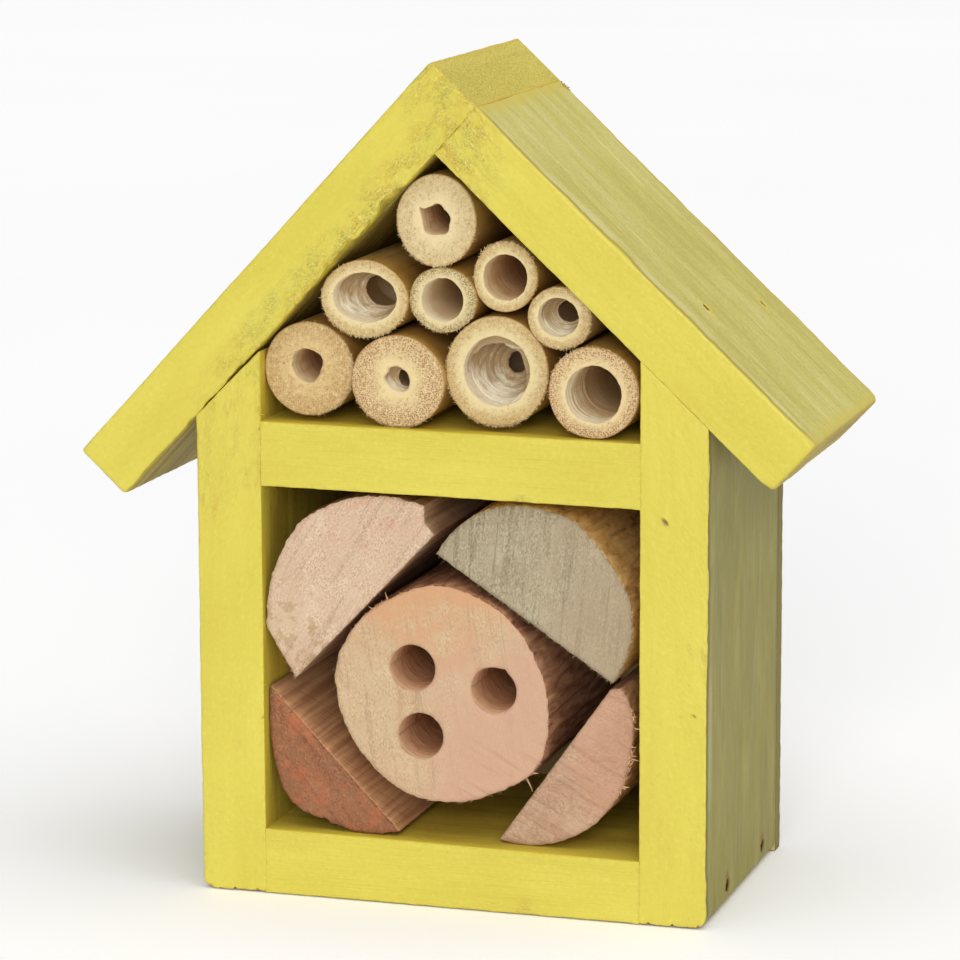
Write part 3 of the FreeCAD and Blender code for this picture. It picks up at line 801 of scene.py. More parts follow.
def board(name, corners, seed, looks, torn, radius=(0.5, 0.32, 0.3), soft_end=0.0, dents=(),
          nibble=None, foot=0.0, push=0.0):
    """A sawn board. corners are x and z: start and end of the outer face, then the end and
    start of the inner face; u runs along the grain, v through the board and w to the rear.
    radius rounds the outer, inner and end edges, soft_end the far end, and foot the corner
    where the outer face starts. dents are (side, u, v or w, (half width, half length), depth).
    torn(u, v, w) says where the paint is rough, nibble(u, v, w) how points move where wood
    broke away, and push sets the board back from the front."""
    start, end, inner_end, inner_start = (np.array(c, float) for c in corners)
    size = np.array([np.linalg.norm(end - start), np.linalg.norm(inner_start - start),
                     REAR - FRONT])
    u_marks = [d[1] for d in dents]
    w_marks = [d[2] for d in dents if d[0] == "outer"]
    flat, quads, sides = block(spaced(size[0], 0.6, u_marks), spaced(size[1], 0.42),
                               spaced(size[2], 1.1, w_marks))
    u, v, w = flat.T
    ragged = fbm(flat * 0.5, seed, 4, 0.6)
    at_end = np.minimum(u, size[0] - u) < END_ZONE
    base = np.where(at_end, radius[2], np.where(v < size[1] / 2, radius[0], radius[1]))
    round_to = np.clip(base * (1 + 0.75 * ragged), 0.08, 1.4)
    if soft_end:
        far_end = smooth(u, size[0] - 3, size[0] - 1)
        round_to += (np.clip(soft_end * (1 + 0.3 * ragged), 0.2, 1.45) - round_to) * far_end
    rough = torn(u, v, w)
    round_to += rough * 0.9 * np.clip(fbm(flat * (0.7, 0.5, 0.5), seed + 8, 4, 0.6), 0, 1)
    if foot:
        round_to += 0.8 * np.clip(ragged, 0, 1) * smooth(u, 1.6, 0.8)
    rounding = round_to[:, None]
    core = np.clip(flat, rounding, size - rounding)
    out = flat - core
    normal = out / np.maximum(np.linalg.norm(out, axis=1, keepdims=True), 1e-9)
    shaped = core + normal * rounding
    local = flat + np.array((seed * 31.7, seed * 7.1, 0.0))
    scar = np.abs(fbm(local * (0.02, 0.45, 0.45), seed + 4, 2))
    height = (0.13 * fbm(local / (38, 8, 15), seed + 1, 3)
              + 0.05 * fbm(local * (0.07, 1.0, 1.0), seed + 2, 3)
              + 0.035 * fbm(local / 1.5, seed + 3, 2)
              - 0.10 * np.clip(scar - 0.55, 0, 1)
              + rough * 0.24 * fbm(local / (1.5, 1.0, 1.0), seed + 5, 3, 0.6))
    mark = press(dents, height, flat, local, seed)
    shaped = shaped + normal * (height - SUNK)[:, None]
    if nibble is not None:
        shaped = shaped + nibble(u, v, w)
    if foot:
        shaped[:, :2] = round_foot(shaped[:, :2], foot)
    s, t = shaped[:, :1] / size[0], shaped[:, 1:2] / size[1]
    placed = (start * (1 - s) + end * s) * (1 - t) + (inner_start * (1 - s) + inner_end * s) * t
    points = columns(placed[:, 0], FRONT + shaped[:, 2] + push, placed[:, 1])
    edge = np.min(np.where(np.abs(normal[:, :2]) > 0.9, 9.0,
                           np.minimum(flat[:, :2], size[:2] - flat[:, :2])), axis=1)
    piece = Piece("painted_" + name, looks)
    piece.add(points, quads, SIDE_LOOKS[sides], flow=local, edge=edge, torn=rough, mark=mark,
              rear=np.where(w < size[2], size[2] - w, 5.0))
    return piece


def roof_point(along_left, along_right):
    """The x and z of a place down from the ridge along both slopes."""
    return APEX + LEFT_DOWN * along_left + RIGHT_DOWN * along_right


def ridge_tear(u, v, w):
    """Where paint tore and clotted round the ridge joint."""
    near = smooth(u + 0.5 * (12 - v), 20, 5)
    return near * smooth(w, 7, 1)


def left_tear(u, v, w):
    """The left roof board's rough paint: the ridge and a strip along the inner edge."""
    spot = columns(u, v, 0)
    strip = smooth(v + 2.5 * fbm(spot * 0.12, 81, 3), 5, 10) * smooth(u, 88, 60)
    return np.maximum(ridge_tear(u, v, w), 0.9 * strip * smooth(w, 4, 1))


def left_nibble(u, v, w):
    """Splinters broken out of the left roof board's inner front edge below the ridge."""
    spot = columns(u, 0, w * 0.25)
    worst = smooth(u, 20, 23) * smooth(u, 46, 38)
    deep = np.clip(fbm(spot * 0.42, 101, 2), 0, 1) * 1.7 + 0.35 * np.abs(fbm(spot * 1.5, 102, 2))
    deep = deep * (0.25 + 0.75 * worst) * smooth(w, 4.0, 0.6) * smooth(v, 10.6, 11.9)
    deep = deep * smooth(u, 14, 18)
    return columns(0, -deep, 0)


def rear_nibble(u, v, w):
    """The uneven rear edge of the right roof board's outer face."""
    deep = 0.5 + 0.8 * fbm(columns(u * 0.16, v * 0.1, 0), 104, 3, 0.6)
    return columns(0, 0, -np.clip(deep, 0, 2) * smooth(w, 48, 55) * smooth(v, 5, 0.5))


def foot_nibble(u, v, w):
    """Crumbs broken out of a side board's bottom front edge."""
    deep = np.clip(fbm(columns(v * 0.8, 0, w * 0.4), 103, 3, 0.6), 0, 1) * 1.1
    return columns(deep * smooth(w, 3.0, 0.5) * smooth(u, 1.6, 0.3), 0, 0)


def side_tear(u, v, w):
    """The left side's rough paint: near its top, and a few torn spots lower down."""
    spot = columns(u, v, 0)
    spots = smooth(fbm(spot * 0.11, 91, 3), 0.42, 0.7)
    return np.maximum(smooth(u, 55, 96) * 0.45, 0.6 * spots) * smooth(w, 3, 1)


def flat_tear(u, v, w):
    """Torn spots in otherwise even paint."""
    return 0.5 * smooth(fbm(columns(u, v, 0) * 0.10, 95, 3), 0.40, 0.7) * smooth(w, 3, 1)


def board_looks():
    """The paints, stains and end grains of the boards; the inner, under and right side stains carry
    painted shade and painted light.
    """
    paints = {kind: front_paint("front_paint_" + kind, brushed)
              for kind, brushed in (("smooth", 0.03), ("rough", 0.08), ("brushed", 0.14))}
    # the second colour is painted shade: the dark line along the right side's rounded front edge
    ochre, rounded_edge_shade = rgb(202, 178, 66), rgb(122, 108, 46)
    top = stained_face("roof_top_stain", rgb(212, 205, 134), rgb(199, 189, 102),
                       rgb(182, 169, 82), rgb(178, 152, 58), streak=0.40,
                       rim=rgb(222, 190, 66), short=2.2, core=rgb(118, 88, 34), ends=0.75)
    # the inner stain is made yellower and browner: painted light and shade for the yellowed light
    # in the shaded insides
    inside = stained_face("inner_stain_painted_light", rgb(214, 194, 78), rgb(202, 178, 62),
                          rgb(168, 142, 46), ochre, worn=0)
    # the underside stain is made darker: painted shade under the roof and boards, behind the front
    # paint
    under = stained_face("under_stain_painted_shade", rgb(200, 184, 96), rgb(170, 150, 66),
                         rgb(120, 98, 36), rgb(130, 100, 40), streak=0.6, worn=0)
    # the right side's stain is the roof top's stain made darker: painted shade for a face that gets
    # less of the top light
    right_stain_shaded = stained_face("right_side_stain_painted_shade", rgb(168, 160, 88), rgb(151, 142, 66),
                               rgb(134, 125, 58), rounded_edge_shade, streak=0.14, worn=0.4,
                               rim=rgb(136, 104, 46), short=4.5, far=rgb(132, 122, 62))
    left_stain = stained_face("left_side_stain", rgb(206, 198, 130), rgb(194, 184, 102),
                              rgb(178, 166, 84), ochre)
    ridge = end_grain("ridge_end_grain", rgb(216, 200, 98), rgb(204, 188, 86), rgb(150, 128, 50))
    end = end_grain("low_end_grain", rgb(198, 180, 90), rgb(166, 144, 70), rgb(118, 92, 46))
    return {**paints, "top": top, "inside": inside, "under": under, "right": right_stain_shaded,
            "left": left_stain, "ridge": ridge, "end": end}


def nails(places, shape, depth):
    """Sunk nail marks in a board's outer face."""
    return [("outer", u, y - FRONT, shape, depth) for u, y in places]


def make_roof(looks, rng):
    """The left roof board, and the right one that butts under it."""
    thick = ROOF_THICKNESS
    piece = board("left_roof", [roof_point(0, 0), roof_point(LEFT_ROOF_LENGTH, 0),
                                roof_point(LEFT_ROOF_LENGTH, thick), roof_point(0, thick)],
                  3, [looks[k] for k in ("rough", "top", "under", "ridge")], left_tear,
                  soft_end=0.8, nibble=left_nibble,
                  dents=nails(LEFT_ROOF_NAILS, (0.9, 0.9), 0.5))
    piece.build("left_roof_board", slot=PAINTED)

    lap = thick - 0.2
    piece = board("right_roof", [roof_point(0, lap), roof_point(0, RIGHT_ROOF_LENGTH),
                                 roof_point(thick, RIGHT_ROOF_LENGTH), roof_point(thick, lap)],
                  11, [looks[k] for k in ("smooth", "top", "under", "end")], ridge_tear,
                  soft_end=1.2, nibble=rear_nibble, push=0.12,
                  dents=nails(RIGHT_ROOF_NAILS, (0.7, 0.9), 0.45))
    x, z = roof_point(0.1, lap + 1.0)
    for along in rng.uniform(-0.5, 0.9, 12):
        root = np.array((x + along, REAR - rng.uniform(0.6, 1.6), z - along - 0.2))
        strands(piece, [root], [np.array((0.5, 0.4, 0.5)) + rng.normal(size=3) * 0.5],
                [rng.uniform(0.5, 1.1)], 0.45, 2, rng, 0.4)
    piece.build("right_roof_board", slot=PAINTED)


def make_sides(looks, rng):
    """The two upright boards, mitred under the roof."""
    thick = ROOF_THICKNESS
    left_under, right_under = roof_point(0, thick), roof_point(thick, 0)
    outer_top = left_under[1] - (left_under[0] + BODY_HALF) * math.tan(LEFT_PITCH) + SEAM
    inner_top = outer_top + (BODY_HALF - INNER_HALF) * math.tan(LEFT_TOP_CUT)
    right_tops = [right_under[1] - (x - right_under[0]) * math.tan(RIGHT_PITCH) + SEAM
                  for x in (BODY_HALF, INNER_HALF)]
    side_nails = nails(FLOOR_NAILS, (1.35, 1.1), 0.62) + nails(SHELF_NAILS, (0.8, 1.0), 0.62)
    piece = board("left_side", [(-BODY_HALF, 0), (-BODY_HALF, outer_top),
                                (-INNER_HALF, inner_top), (-INNER_HALF, 0)],
                  23, [looks[k] for k in ("smooth", "left", "inside", "end")], side_tear,
                  foot=2.3, nibble=foot_nibble, dents=side_nails)
    for z in [*rng.uniform(90.5, 97.0, 16), *rng.uniform(30, 56, 12)]:
        root = np.array((-INNER_HALF - 0.25, FRONT + rng.uniform(0.1, 0.6), z))
        strands(piece, [root], [np.array((0.5, -0.7, 0.1)) + rng.normal(size=3) * 0.4],
                [rng.uniform(0.35, 0.8)], 0.17, 0, rng, 0.9)
    piece.build("left_side_board", slot=PAINTED)

    front_dents = [("front", 71.4, 8.1, (0.55, 0.5), 0.08), ("front", 39.9, 2.5, (0.26, 0.24), 0.1)]
    piece = board("right_side", [(BODY_HALF, 0), (BODY_HALF, right_tops[0]),
                                 (INNER_HALF, right_tops[1]), (INNER_HALF, 0)],
                  37, [looks[k] for k in ("smooth", "right", "inside", "end")], flat_tear,
                  foot=2.3, push=0.1, nibble=foot_nibble, dents=side_nails + front_dents)
    piece.build("right_side_board", slot=PAINTED)


def make_boards():
    """The two roof boards, the sides, the floor and the shelf."""
    looks, rng = board_looks(), np.random.default_rng(601)
    make_roof(looks, rng)
    make_sides(looks, rng)
    reach = INNER_HALF + 0.15
    for name, low, high, seed, below, push in (
            ("floor", (0, 0), FLOOR_TOP, 41, "under", 0.05),
            ("shelf", SHELF_LOW, SHELF_TOP, 53, "inside", 0.1)):
        piece = board(name, [(-reach, low[0]), (reach, low[1]), (reach, high[1]),
                             (-reach, high[0])],
                      seed, [looks[k] for k in ("brushed", below, "inside", "end")], flat_tear,
                      radius=(0.4, 0.45, 0.12), push=push)
        piece.build(name + "_board", slot=PAINTED)


# ---------------------------------------------------------------- outlines and cut ends
def run(first, last, step):
    """Points on a straight line, without the last."""
    count = max(1, round(math.dist(first, last) / step))
    return [tuple(np.array(first) + (np.array(last) - np.array(first)) * k / count)
            for k in range(count)]


def arc(first, middle, last, step):
    """Points on the circle through three points, without the last."""
    a, b, c = (complex(*p) for p in (first, middle, last))
    w = (c - a) / (b - a)
    centre = a + (b - a) * (w - abs(w) ** 2) / (2j * w.imag)
    turn_b = np.angle((b - centre) / (a - centre))
    turn_c = np.angle((c - centre) / (a - centre))
    if turn_b > 0 and turn_c < turn_b:
        turn_c += 2 * math.pi
    if turn_b < 0 and turn_c > turn_b:
        turn_c -= 2 * math.pi
    count = max(2, round(abs(turn_c) * abs(a - centre) / step))
    made = [centre + (a - centre) * np.exp(1j * turn_c * k / count) for k in range(count)]
    return [(p.real, p.imag) for p in made]


def split_outline(start, steps, step=0.38):
    """The outline's points, and for each the number of the run that it starts: bark 0, flat 1."""
    here, points, flat = start, [], []
    for item in steps:
        curved = isinstance(item[0], tuple)
        new = arc(here, item[0], item[1], step) if curved else run(here, item, step)
        points += new
        flat += [0 if curved else 1] * len(new)
        here = item[1] if curved else item
    new = run(here, start, step)
    return np.array(points + new), np.array(flat + [1] * len(new))


def closed_curve(knots, step=0.38):
    """A smooth closed curve through the knots."""
    knots = np.array(knots)
    points = []
    for k in range(len(knots)):
        p0, p1, p2, p3 = (knots[(k + j - 1) % len(knots)] for j in range(4))
        count = round(np.linalg.norm(p2 - p1) / step)
        for t in np.arange(count) / count:
            points.append(0.5 * (2 * p1 + (p2 - p0) * t + (2 * p0 - 5 * p1 + 4 * p2 - p3) * t * t
                                 + (3 * p1 - p0 - 3 * p2 + p3) * t ** 3))
    return np.array(points)


def outward(outline):
    """Unit normals of a closed outline, pointing out of it."""
    ahead, behind = np.roll(outline, -1, 0), np.roll(outline, 1, 0)
    along = ahead - behind
    normal = columns(along[:, 1], -along[:, 0])
    normal /= np.maximum(np.linalg.norm(normal, axis=1, keepdims=True), 1e-9)
    area = np.sum(outline[:, 0] * np.roll(outline[:, 1], -1)
                  - np.roll(outline[:, 0], -1) * outline[:, 1])
    return normal if area > 0 else -normal


def inside_loop(points, loop):
    """Whether each point is inside a closed outline."""
    x, z = points[:, :1], points[:, 1:]
    ax, az = loop[:, 0][None], loop[:, 1][None]
    bx, bz = np.roll(ax, -1), np.roll(az, -1)
    crosses = ((az > z) != (bz > z)) & (x < (bx - ax) * (z - az) / (bz - az + 1e-12) + ax)
    return crosses.sum(axis=1) % 2 == 1


def gap_to_loop(points, loop):
    """Distance from each point to a closed outline."""
    nearest = np.full(len(points), 1e9)
    for a, b in zip(loop, np.roll(loop, -1, 0)):
        along = b - a
        t = np.clip(((points - a) @ along) / max(along @ along, 1e-12), 0, 1)
        nearest = np.minimum(nearest, np.linalg.norm(points - a - t[:, None] * along, axis=1))
    return nearest


def filled(outer, holes, spacing, rng):
    """Points over an outline's area, its own first and then its holes', and the triangles."""
    low, high = outer.min(0), outer.max(0)
    rows = np.arange(low[1], high[1], spacing * 0.87)
    inner = []
    for k, z in enumerate(rows):
        xs = np.arange(low[0] + (k % 2) * spacing / 2, high[0], spacing)
        inner.append(columns(xs, z))
    inner = np.concatenate(inner)
    inner += rng.uniform(-0.22, 0.22, inner.shape) * spacing
    inner = inner[inside_loop(inner, outer)]
    inner = inner[gap_to_loop(inner, outer) > 0.45 * spacing]
    for hole in holes:
        inner = inner[~inside_loop(inner, hole)]
        inner = inner[gap_to_loop(inner, hole) > 0.4 * spacing]
    loops = [outer] + list(holes)
    points = np.concatenate(loops + [inner])
    edges, first = [], 0
    for loop in loops:
        count = len(loop)
        edges += [(first + k, first + (k + 1) % count) for k in range(count)]
        first += count
    _, _, triangles, origin, _, _ = delaunay_2d_cdt([Vector(p) for p in points], edges, [], 0,
                                                    1e-7)
    source = [o[0] if o else -1 for o in origin]
    triangles = np.array([[source[i] for i in t] for t in triangles if len(t) == 3])
    triangles = triangles[(triangles >= 0).all(axis=1)]
    middle = points[triangles].mean(axis=1)
    keep = inside_loop(middle, outer)
    for hole in holes:
        keep &= ~inside_loop(middle, hole)
    return points, triangles[keep]


def hole_rings(hole, middle, reach, seed):
    """The rings of a drilled hole's wall, even further in, and each ring's flow, whose second
    number is its depth."""
    steps = np.concatenate([(0.0, 0.3, 0.7), np.arange(1.2, 8, 0.55), np.arange(8, reach, 2.0)])
    turns = np.arctan2(hole[:, 1] - middle[1], hole[:, 0] - middle[0])
    even = middle + HOLE_RADIUS * columns(np.cos(turns), np.sin(turns))
    rings, flows = [], []
    for depth in np.append(steps[steps < reach - 0.2], reach):
        ring = hole + (even - hole) * smooth(depth, 0, 1.6)
        groove = 0.07 * fbm(columns(np.cos(turns) * 1.6 + depth * 0.35,
                                    depth * 2.2, np.sin(turns) * 1.6), seed + 5, 2)
        rings.append(ring + (ring - middle) / HOLE_RADIUS * (groove * smooth(depth, 0, 1))[:, None])
        flows.append(columns(turns * HOLE_RADIUS, depth, 0))
    return rings, flows


def cut_piece(name, looks, outline, flat, front, rear, seed, holes=(), hole_depth=None,
              spacing=0.62, edge_rough=0.15, bark_rough=0.35, side_steps=None, saw_marks=0.06):
    """A length of wood with a sawn front. looks are front, bark, flat side, hole and rear, and
    flat is 1 where the outline is a flat side. holes are outlines; they are blind and end in a
    cone when hole_depth is given. side_steps are depths at which the side has points."""
    rng = np.random.default_rng(seed)
    sawn = flat == 1
    length = rear - front
    normal = outward(outline)
    place = columns(outline[:, 0], 0, outline[:, 1])
    rough = fbm(place * 0.9, seed, 4, 0.65) * np.where(sawn, edge_rough, bark_rough)
    outer = outline + normal * rough[:, None]
    area, triangles = filled(outer, holes, spacing, rng)
    count = len(outer)
    edge = gap_to_loop(area, outer)
    for hole in holes:
        edge = np.minimum(edge, gap_to_loop(area, hole) + 0.25)
    spot = columns(area[:, 0], 0, area[:, 1])
    bumps = 0.10 * fbm(spot * (0.35, 1, 0.35), seed + 1, 3) + 0.07 * fbm(spot * 1.2, seed + 2, 2)
    bumps += 0.22 * smooth(edge, 0.5, 0.0)
    piece = Piece(name, looks)
    piece.add(columns(area[:, 0], front + bumps, area[:, 1]), triangles, 0, edge=edge)

    def ring_at(ring, depth, first):
        """A ring of points that meets the sawn front at depth 0."""
        lift = bumps[first:first + len(ring)] if depth == 0 else 0.0
        return columns(ring[:, 0], front + depth + lift, ring[:, 1])

    if side_steps is None:
        side_steps = np.concatenate([(0.5, 1.1, 1.9, 2.8), np.arange(4.0, length, 1.6)])
    along = np.concatenate([(0.0,), np.cumsum(np.linalg.norm(np.diff(outer, axis=0), axis=1))])
    rows, flows = [], []
    for depth in np.concatenate([(0.0,), side_steps, (length,)]):
        where = columns(outline[:, 0] * 0.5, depth * 0.09, outline[:, 1] * 0.5)
        ridge = fbm(where, seed + 3, 4, 0.6) * np.where(sawn, 0.12, bark_rough * 1.6)
        saw = np.where(sawn, saw_marks * np.sin((along + depth * 0.9) * 2.2), 0.0)
        swell = (ridge + saw) * smooth(depth, 0.0, 4.0) + min(depth, 0.5) * 0.16
        rows.append(ring_at(outer + normal * swell[:, None], depth, 0))
        flows.append(columns(along, depth, 0))
    piece.tube(rows, flows, np.tile(np.where(sawn, 2, 1), len(rows) - 1))
    back, back_triangles = filled(rows[-1][:, [0, 2]], [] if hole_depth else list(holes),
                                  2.5 * spacing, rng)
    piece.add(columns(back[:, 0], rear, back[:, 1]), back_triangles, len(looks) - 1)

    first = count
    for hole in holes:
        middle, size = hole.mean(axis=0), len(hole)
        reach = hole_depth or length
        rows, flows = hole_rings(hole, middle, reach, seed)
        rows = [ring_at(ring, flow[0, 1], first) for ring, flow in zip(rows, flows)]
        piece.tube(rows, flows, 3)
        first += size
        if hole_depth:
            tip = np.vstack([rows[-1], (middle[0], front + reach + 2.7, middle[1])])
            piece.add(tip, [(k, (k + 1) % size, size) for k in range(size)], 3,
                      flow=np.vstack([flows[-1], (0, reach, 0)]))
    return piece


def weld(thing):
    """Join the patches of a piece along their shared edges."""
    work = bmesh.new()
    work.from_mesh(thing.data)
    bmesh.ops.remove_doubles(work, verts=work.verts, dist=WELD_DISTANCE)
    bmesh.ops.recalc_face_normals(work, faces=work.faces)
    work.to_mesh(thing.data)
    work.free()


def circle(x, z, radius, count=64, wobble=0.0, seed=0, chips=()):
    """A drilled mouth; chips are (angle, width, depth), broken out of its rim."""
    turns = np.linspace(0, 2 * math.pi, count, endpoint=False)
    spot = columns(np.cos(turns) * 2.5, np.sin(turns) * 2.5, 0)
    reach = radius + wobble * fbm(spot, seed, 3, 0.6)
    for angle, width, depth in chips:
        away = np.abs((turns - math.radians(angle) + math.pi) % (2 * math.pi) - math.pi)
        reach = reach + depth * np.clip(1 - away / math.radians(width), 0, 1)
    return columns(x + reach * np.cos(turns), z + reach * np.sin(turns))


def fringe(piece, outline, face, where, count, reach, rng):
    """Short saw fibres along part of a sawn end's outline; where(x, z) is how many stand
    there, from 0 to 1."""
    normal = outward(outline)
    chance = where(outline[:, 0], outline[:, 1])
    chance = chance / chance.sum()
    picks = rng.choice(len(outline), count, p=chance)
    roots, ways = [], []
    for k in picks:
        spot = outline[k] - normal[k] * rng.uniform(-0.05, 0.35)
        roots.append(np.array((spot[0], face + 0.15, spot[1])))
        ways.append(np.array((normal[k][0], -0.4, normal[k][1])) + rng.normal(size=3) * 0.45)
    lengths = 0.15 + reach * rng.random(count) ** 2
    strands(piece, roots, ways, lengths, 0.075, 0, rng, curl=0.35)


def log_ends():
    """The looks of the five sawn ends, each with zones of its own colours."""
    looks = {}

    def zone(look, x_part, z_part, low, high, amount=1.0):
        """A soft change across a log end, along x_part of x and z_part of z."""
        x = look.times(look.along(0), x_part)
        z = look.times(look.along(2), z_part)
        wave = look.step(look.noise(0.09, 5, 0.72), 0.25, 0.75, -8, 8)
        return look.step(look.plus(look.plus(x, z), wave), low, high, 0, amount)

    look, colour, heights = log_end(
        "pale_log_end", (-62, 98), 2.6, rgb(222, 198, 172), rgb(206, 178, 150),
        rgb(182, 140, 112), 0.48, (-32, 3.6, 0.26), 0.12)
    spots = look.step(look.noise(0.28, 5, 0.7), 0.50, 0.70, 0, 0.5)
    high = look.step(look.along(2), 62, 75)
    stain = look.step(look.noise(0.45, 4, 0.6), 0.50, 0.60, 0, 0.55)
    low = look.times(zone(look, -0.4, -1.0, -46, -40), zone(look, 0.4, 1.0, 22, 30))
    colour = look.layers(
        colour,
        (look.times(spots, high), rgb(212, 146, 124)),
        (look.times(stain, low), rgb(164, 130, 88)),
        (zone(look, -1.0, -0.5, 0, 14, 0.35), rgb(204, 184, 146)))
    looks["pale"] = look.finish(colour, 0.8, heights, specular=0.2)

    look, colour, heights = log_end(
        "grey_log_end", (-46, 52), 1.5, rgb(188, 178, 148), rgb(170, 156, 128),
        rgb(138, 122, 94), 0.50, (-6, 2.8, 0.42), 0.2)
    colour = look.layers(colour, (zone(look, 1.0, -0.4, -14, 6, 0.5), rgb(174, 152, 124)))
    looks["grey"] = look.finish(colour, 0.85, heights, specular=0.2)

    look, colour, heights = log_end(
        "red_log_end", (-52, 58), 2.2, rgb(172, 126, 92), rgb(146, 102, 74),
        rgb(108, 70, 48), 0.55, (40, 2.4, 0.34), 0.25)
    dull = look.noise(0.24, 5, 0.7, vector=look.mapped(shift=(9, 4, 2)))
    colour = look.layers(
        colour,
        (look.noise(0.3, 5, 0.72), 0.5, 0.64, 0.55, rgb(190, 108, 72)),
        (dull, 0.52, 0.64, 0.5, rgb(132, 104, 76)),
        (zone(look, 0.75, 0.66, 0.4, 3.4, 0.35), rgb(206, 118, 76)),
        (zone(look, -0.3, -1.0, -30, -20, 0.18), rgb(170, 96, 66)))
    looks["red"] = look.finish(colour, 0.85, heights, specular=0.2)

    look, colour, heights = log_end(
        "pink_log_end", (44, -34), 1.4, rgb(204, 172, 144), rgb(186, 152, 124),
        rgb(158, 114, 90), 0.34, (62, 2.2, 0.26), 0.15)
    colour = look.layers(colour, (zone(look, 1.0, 0.2, 26, 34, 0.35), rgb(196, 142, 114)))
    looks["pink"] = look.finish(colour, 0.8, heights, specular=0.2)

    look, colour, heights = log_end(
        "round_log_end", (-6, 66), 3.4, rgb(208, 184, 148), rgb(200, 174, 138),
        rgb(180, 138, 104), 0.42, (8, 3.2, 0.26), 0.2)
    saw_lines = look.noise((1.3, 0.2, 0.05), 3, 0.6, 0.2,
                           vector=look.mapped(turn=(0, math.radians(62), 0)))
    low = look.times(look.step(saw_lines, 0.47, 0.36, 0, 0.45),
                     zone(look, 0.7, -1.0, -30, -12))
    colour = look.layers(
        colour,
        (zone(look, 0.0, 1.0, 46, 58, 0.85), rgb(206, 156, 116)),
        (zone(look, 1.0, -0.6, -34, -14, 0.8), rgb(202, 160, 134)),
        (low, rgb(178, 124, 98)))
    looks["round"] = look.finish(colour, 0.75, heights, specular=0.22)
    return looks


def make_logs():
    """The four split logs and the drilled one."""
    ends, wall, rear = log_ends(), drilled_wall(), plywood("log_rear")
    barks = {kind: bark(kind + "_log_bark", *(rgb(*c) for c in colours))
             for kind, *colours in (
                 ("pale", (160, 122, 84), (128, 90, 58), (74, 48, 30), (150, 120, 78)),
                 # the grey log's bark is made much lighter: painted light where it sits in the
                 # shade of the shelf and the right side
                 ("grey", (246, 208, 140), (226, 180, 114), (160, 114, 68), (238, 176, 98)),
                 ("red", (132, 84, 58), (98, 60, 42), (52, 32, 22), (140, 96, 70)),
                 ("pink", (208, 160, 116), (174, 130, 94), (100, 70, 50), (216, 150, 96)),
                 ("round", (208, 156, 116), (174, 120, 86), (112, 70, 48), (184, 146, 100)))}
    splits = {kind: split_face(kind + "_log_split", *(rgb(*c) for c in colours))
              for kind, *colours in (
                  ("pale", (190, 154, 122), (150, 116, 88)),
                  ("grey", (150, 122, 88), (110, 84, 56)),
                  ("red", (230, 178, 128), (186, 132, 92)),
                  ("pink", (176, 136, 104), (132, 96, 70)))}
    # for each split log: its kind, how rough its flat and bark edges are, and the fringe's
    # number of fibres, reach and place
    plan = {
        "log_upper_left": ("pale", 0.14, 0.42, 70, 0.5,
                           lambda x, z: smooth(x, -26, -31) * smooth(z, 54, 46) + 0.1),
        "log_upper_right": ("grey", 0.20, 0.22, 260, 0.7, lambda x, z: smooth(z, 66, 56) + 0.1),
        "log_lower_left": ("red", 0.12, 0.30, 90, 0.5, lambda x, z: smooth(z, 26, 17) + 0.15),
        "log_lower_right": ("pink", 0.10, 0.25, 160, 0.9,
                            lambda x, z: smooth(x, 30, 33.5) + 0.05),
    }
    for seed, (name, (face, start, steps)) in enumerate(SPLIT_LOGS.items()):
        kind, flat_rough, bark_rough, count, reach, where = plan[name]
        outline, flat = split_outline(start, steps)
        piece = cut_piece("wood_" + name, [ends[kind], barks[kind], splits[kind], wall, rear],
                          outline, flat, face, FILL_REAR, 100 + 10 * seed,
                          edge_rough=flat_rough, bark_rough=bark_rough)
        rng = np.random.default_rng(400 + seed)
        fringe(piece, outline, face, where, count, reach, rng)
        if name == "log_lower_right":
            for z in rng.uniform(21, 42, 46):
                edge = outline[np.argmin(np.hypot(outline[:, 0] - 36, outline[:, 1] - z))]
                root = np.array((edge[0] - 0.1, face + rng.uniform(0.0, 1.0), edge[1]))
                strands(piece, [root], [np.array((0.6, -0.5, 0)) + rng.normal(size=3) * 0.5],
                        [rng.uniform(0.6, 1.6)], 0.20, 3, rng, 0.8)
        weld(piece.build(name, slot=kind + "_log_wood"))

    outline = closed_curve(ROUND_LOG_OUTLINE)
    chips = ((), ((128, 16, 0.7), (62, 12, 0.35)), ())
    mouths = [circle(x, z, HOLE_RADIUS, wobble=wobble, seed=4 + k, chips=chips[k])
              for k, ((x, z), wobble) in enumerate(zip(DRILLED_HOLES, (0.05, 0.08, 0.06)))]
    piece = cut_piece("wood_drilled_log", [ends["round"], barks["round"], splits["pale"], wall,
                                           rear],
                      outline, np.zeros(len(outline), int), ROUND_LOG_FACE, FILL_REAR, 171,
                      holes=mouths, hole_depth=HOLE_DEPTH, edge_rough=0.1, bark_rough=0.30)
    rng = np.random.default_rng(431)
    fringe(piece, outline, ROUND_LOG_FACE,
           lambda x, z: smooth(x, -8, -18) * smooth(z, 52, 58) * 2 + smooth(x - z, -30, -10) + 0.1,
           200, 0.7, rng)
    slivers = [((14.6, 25.8), (0.8, -0.2, -1.0), 2.6), ((15.6, 27.0), (1.0, -0.3, 0.1), 1.8),
               ((-12.6, 58.6), (-0.5, -0.3, 1.0), 1.6), ((-15.4, 56.6), (-1.0, -0.3, 0.4), 1.3),
               ((-22.4, 45.0), (-0.7, -0.3, -0.8), 1.2)]
    for (x, z), way, length in slivers:
        strands(piece, [np.array((x, ROUND_LOG_FACE + 0.3, z))], [way], [length], 0.30, 0, rng,
                0.5)
    weld(piece.build("drilled_log", slot="round_log_wood"))


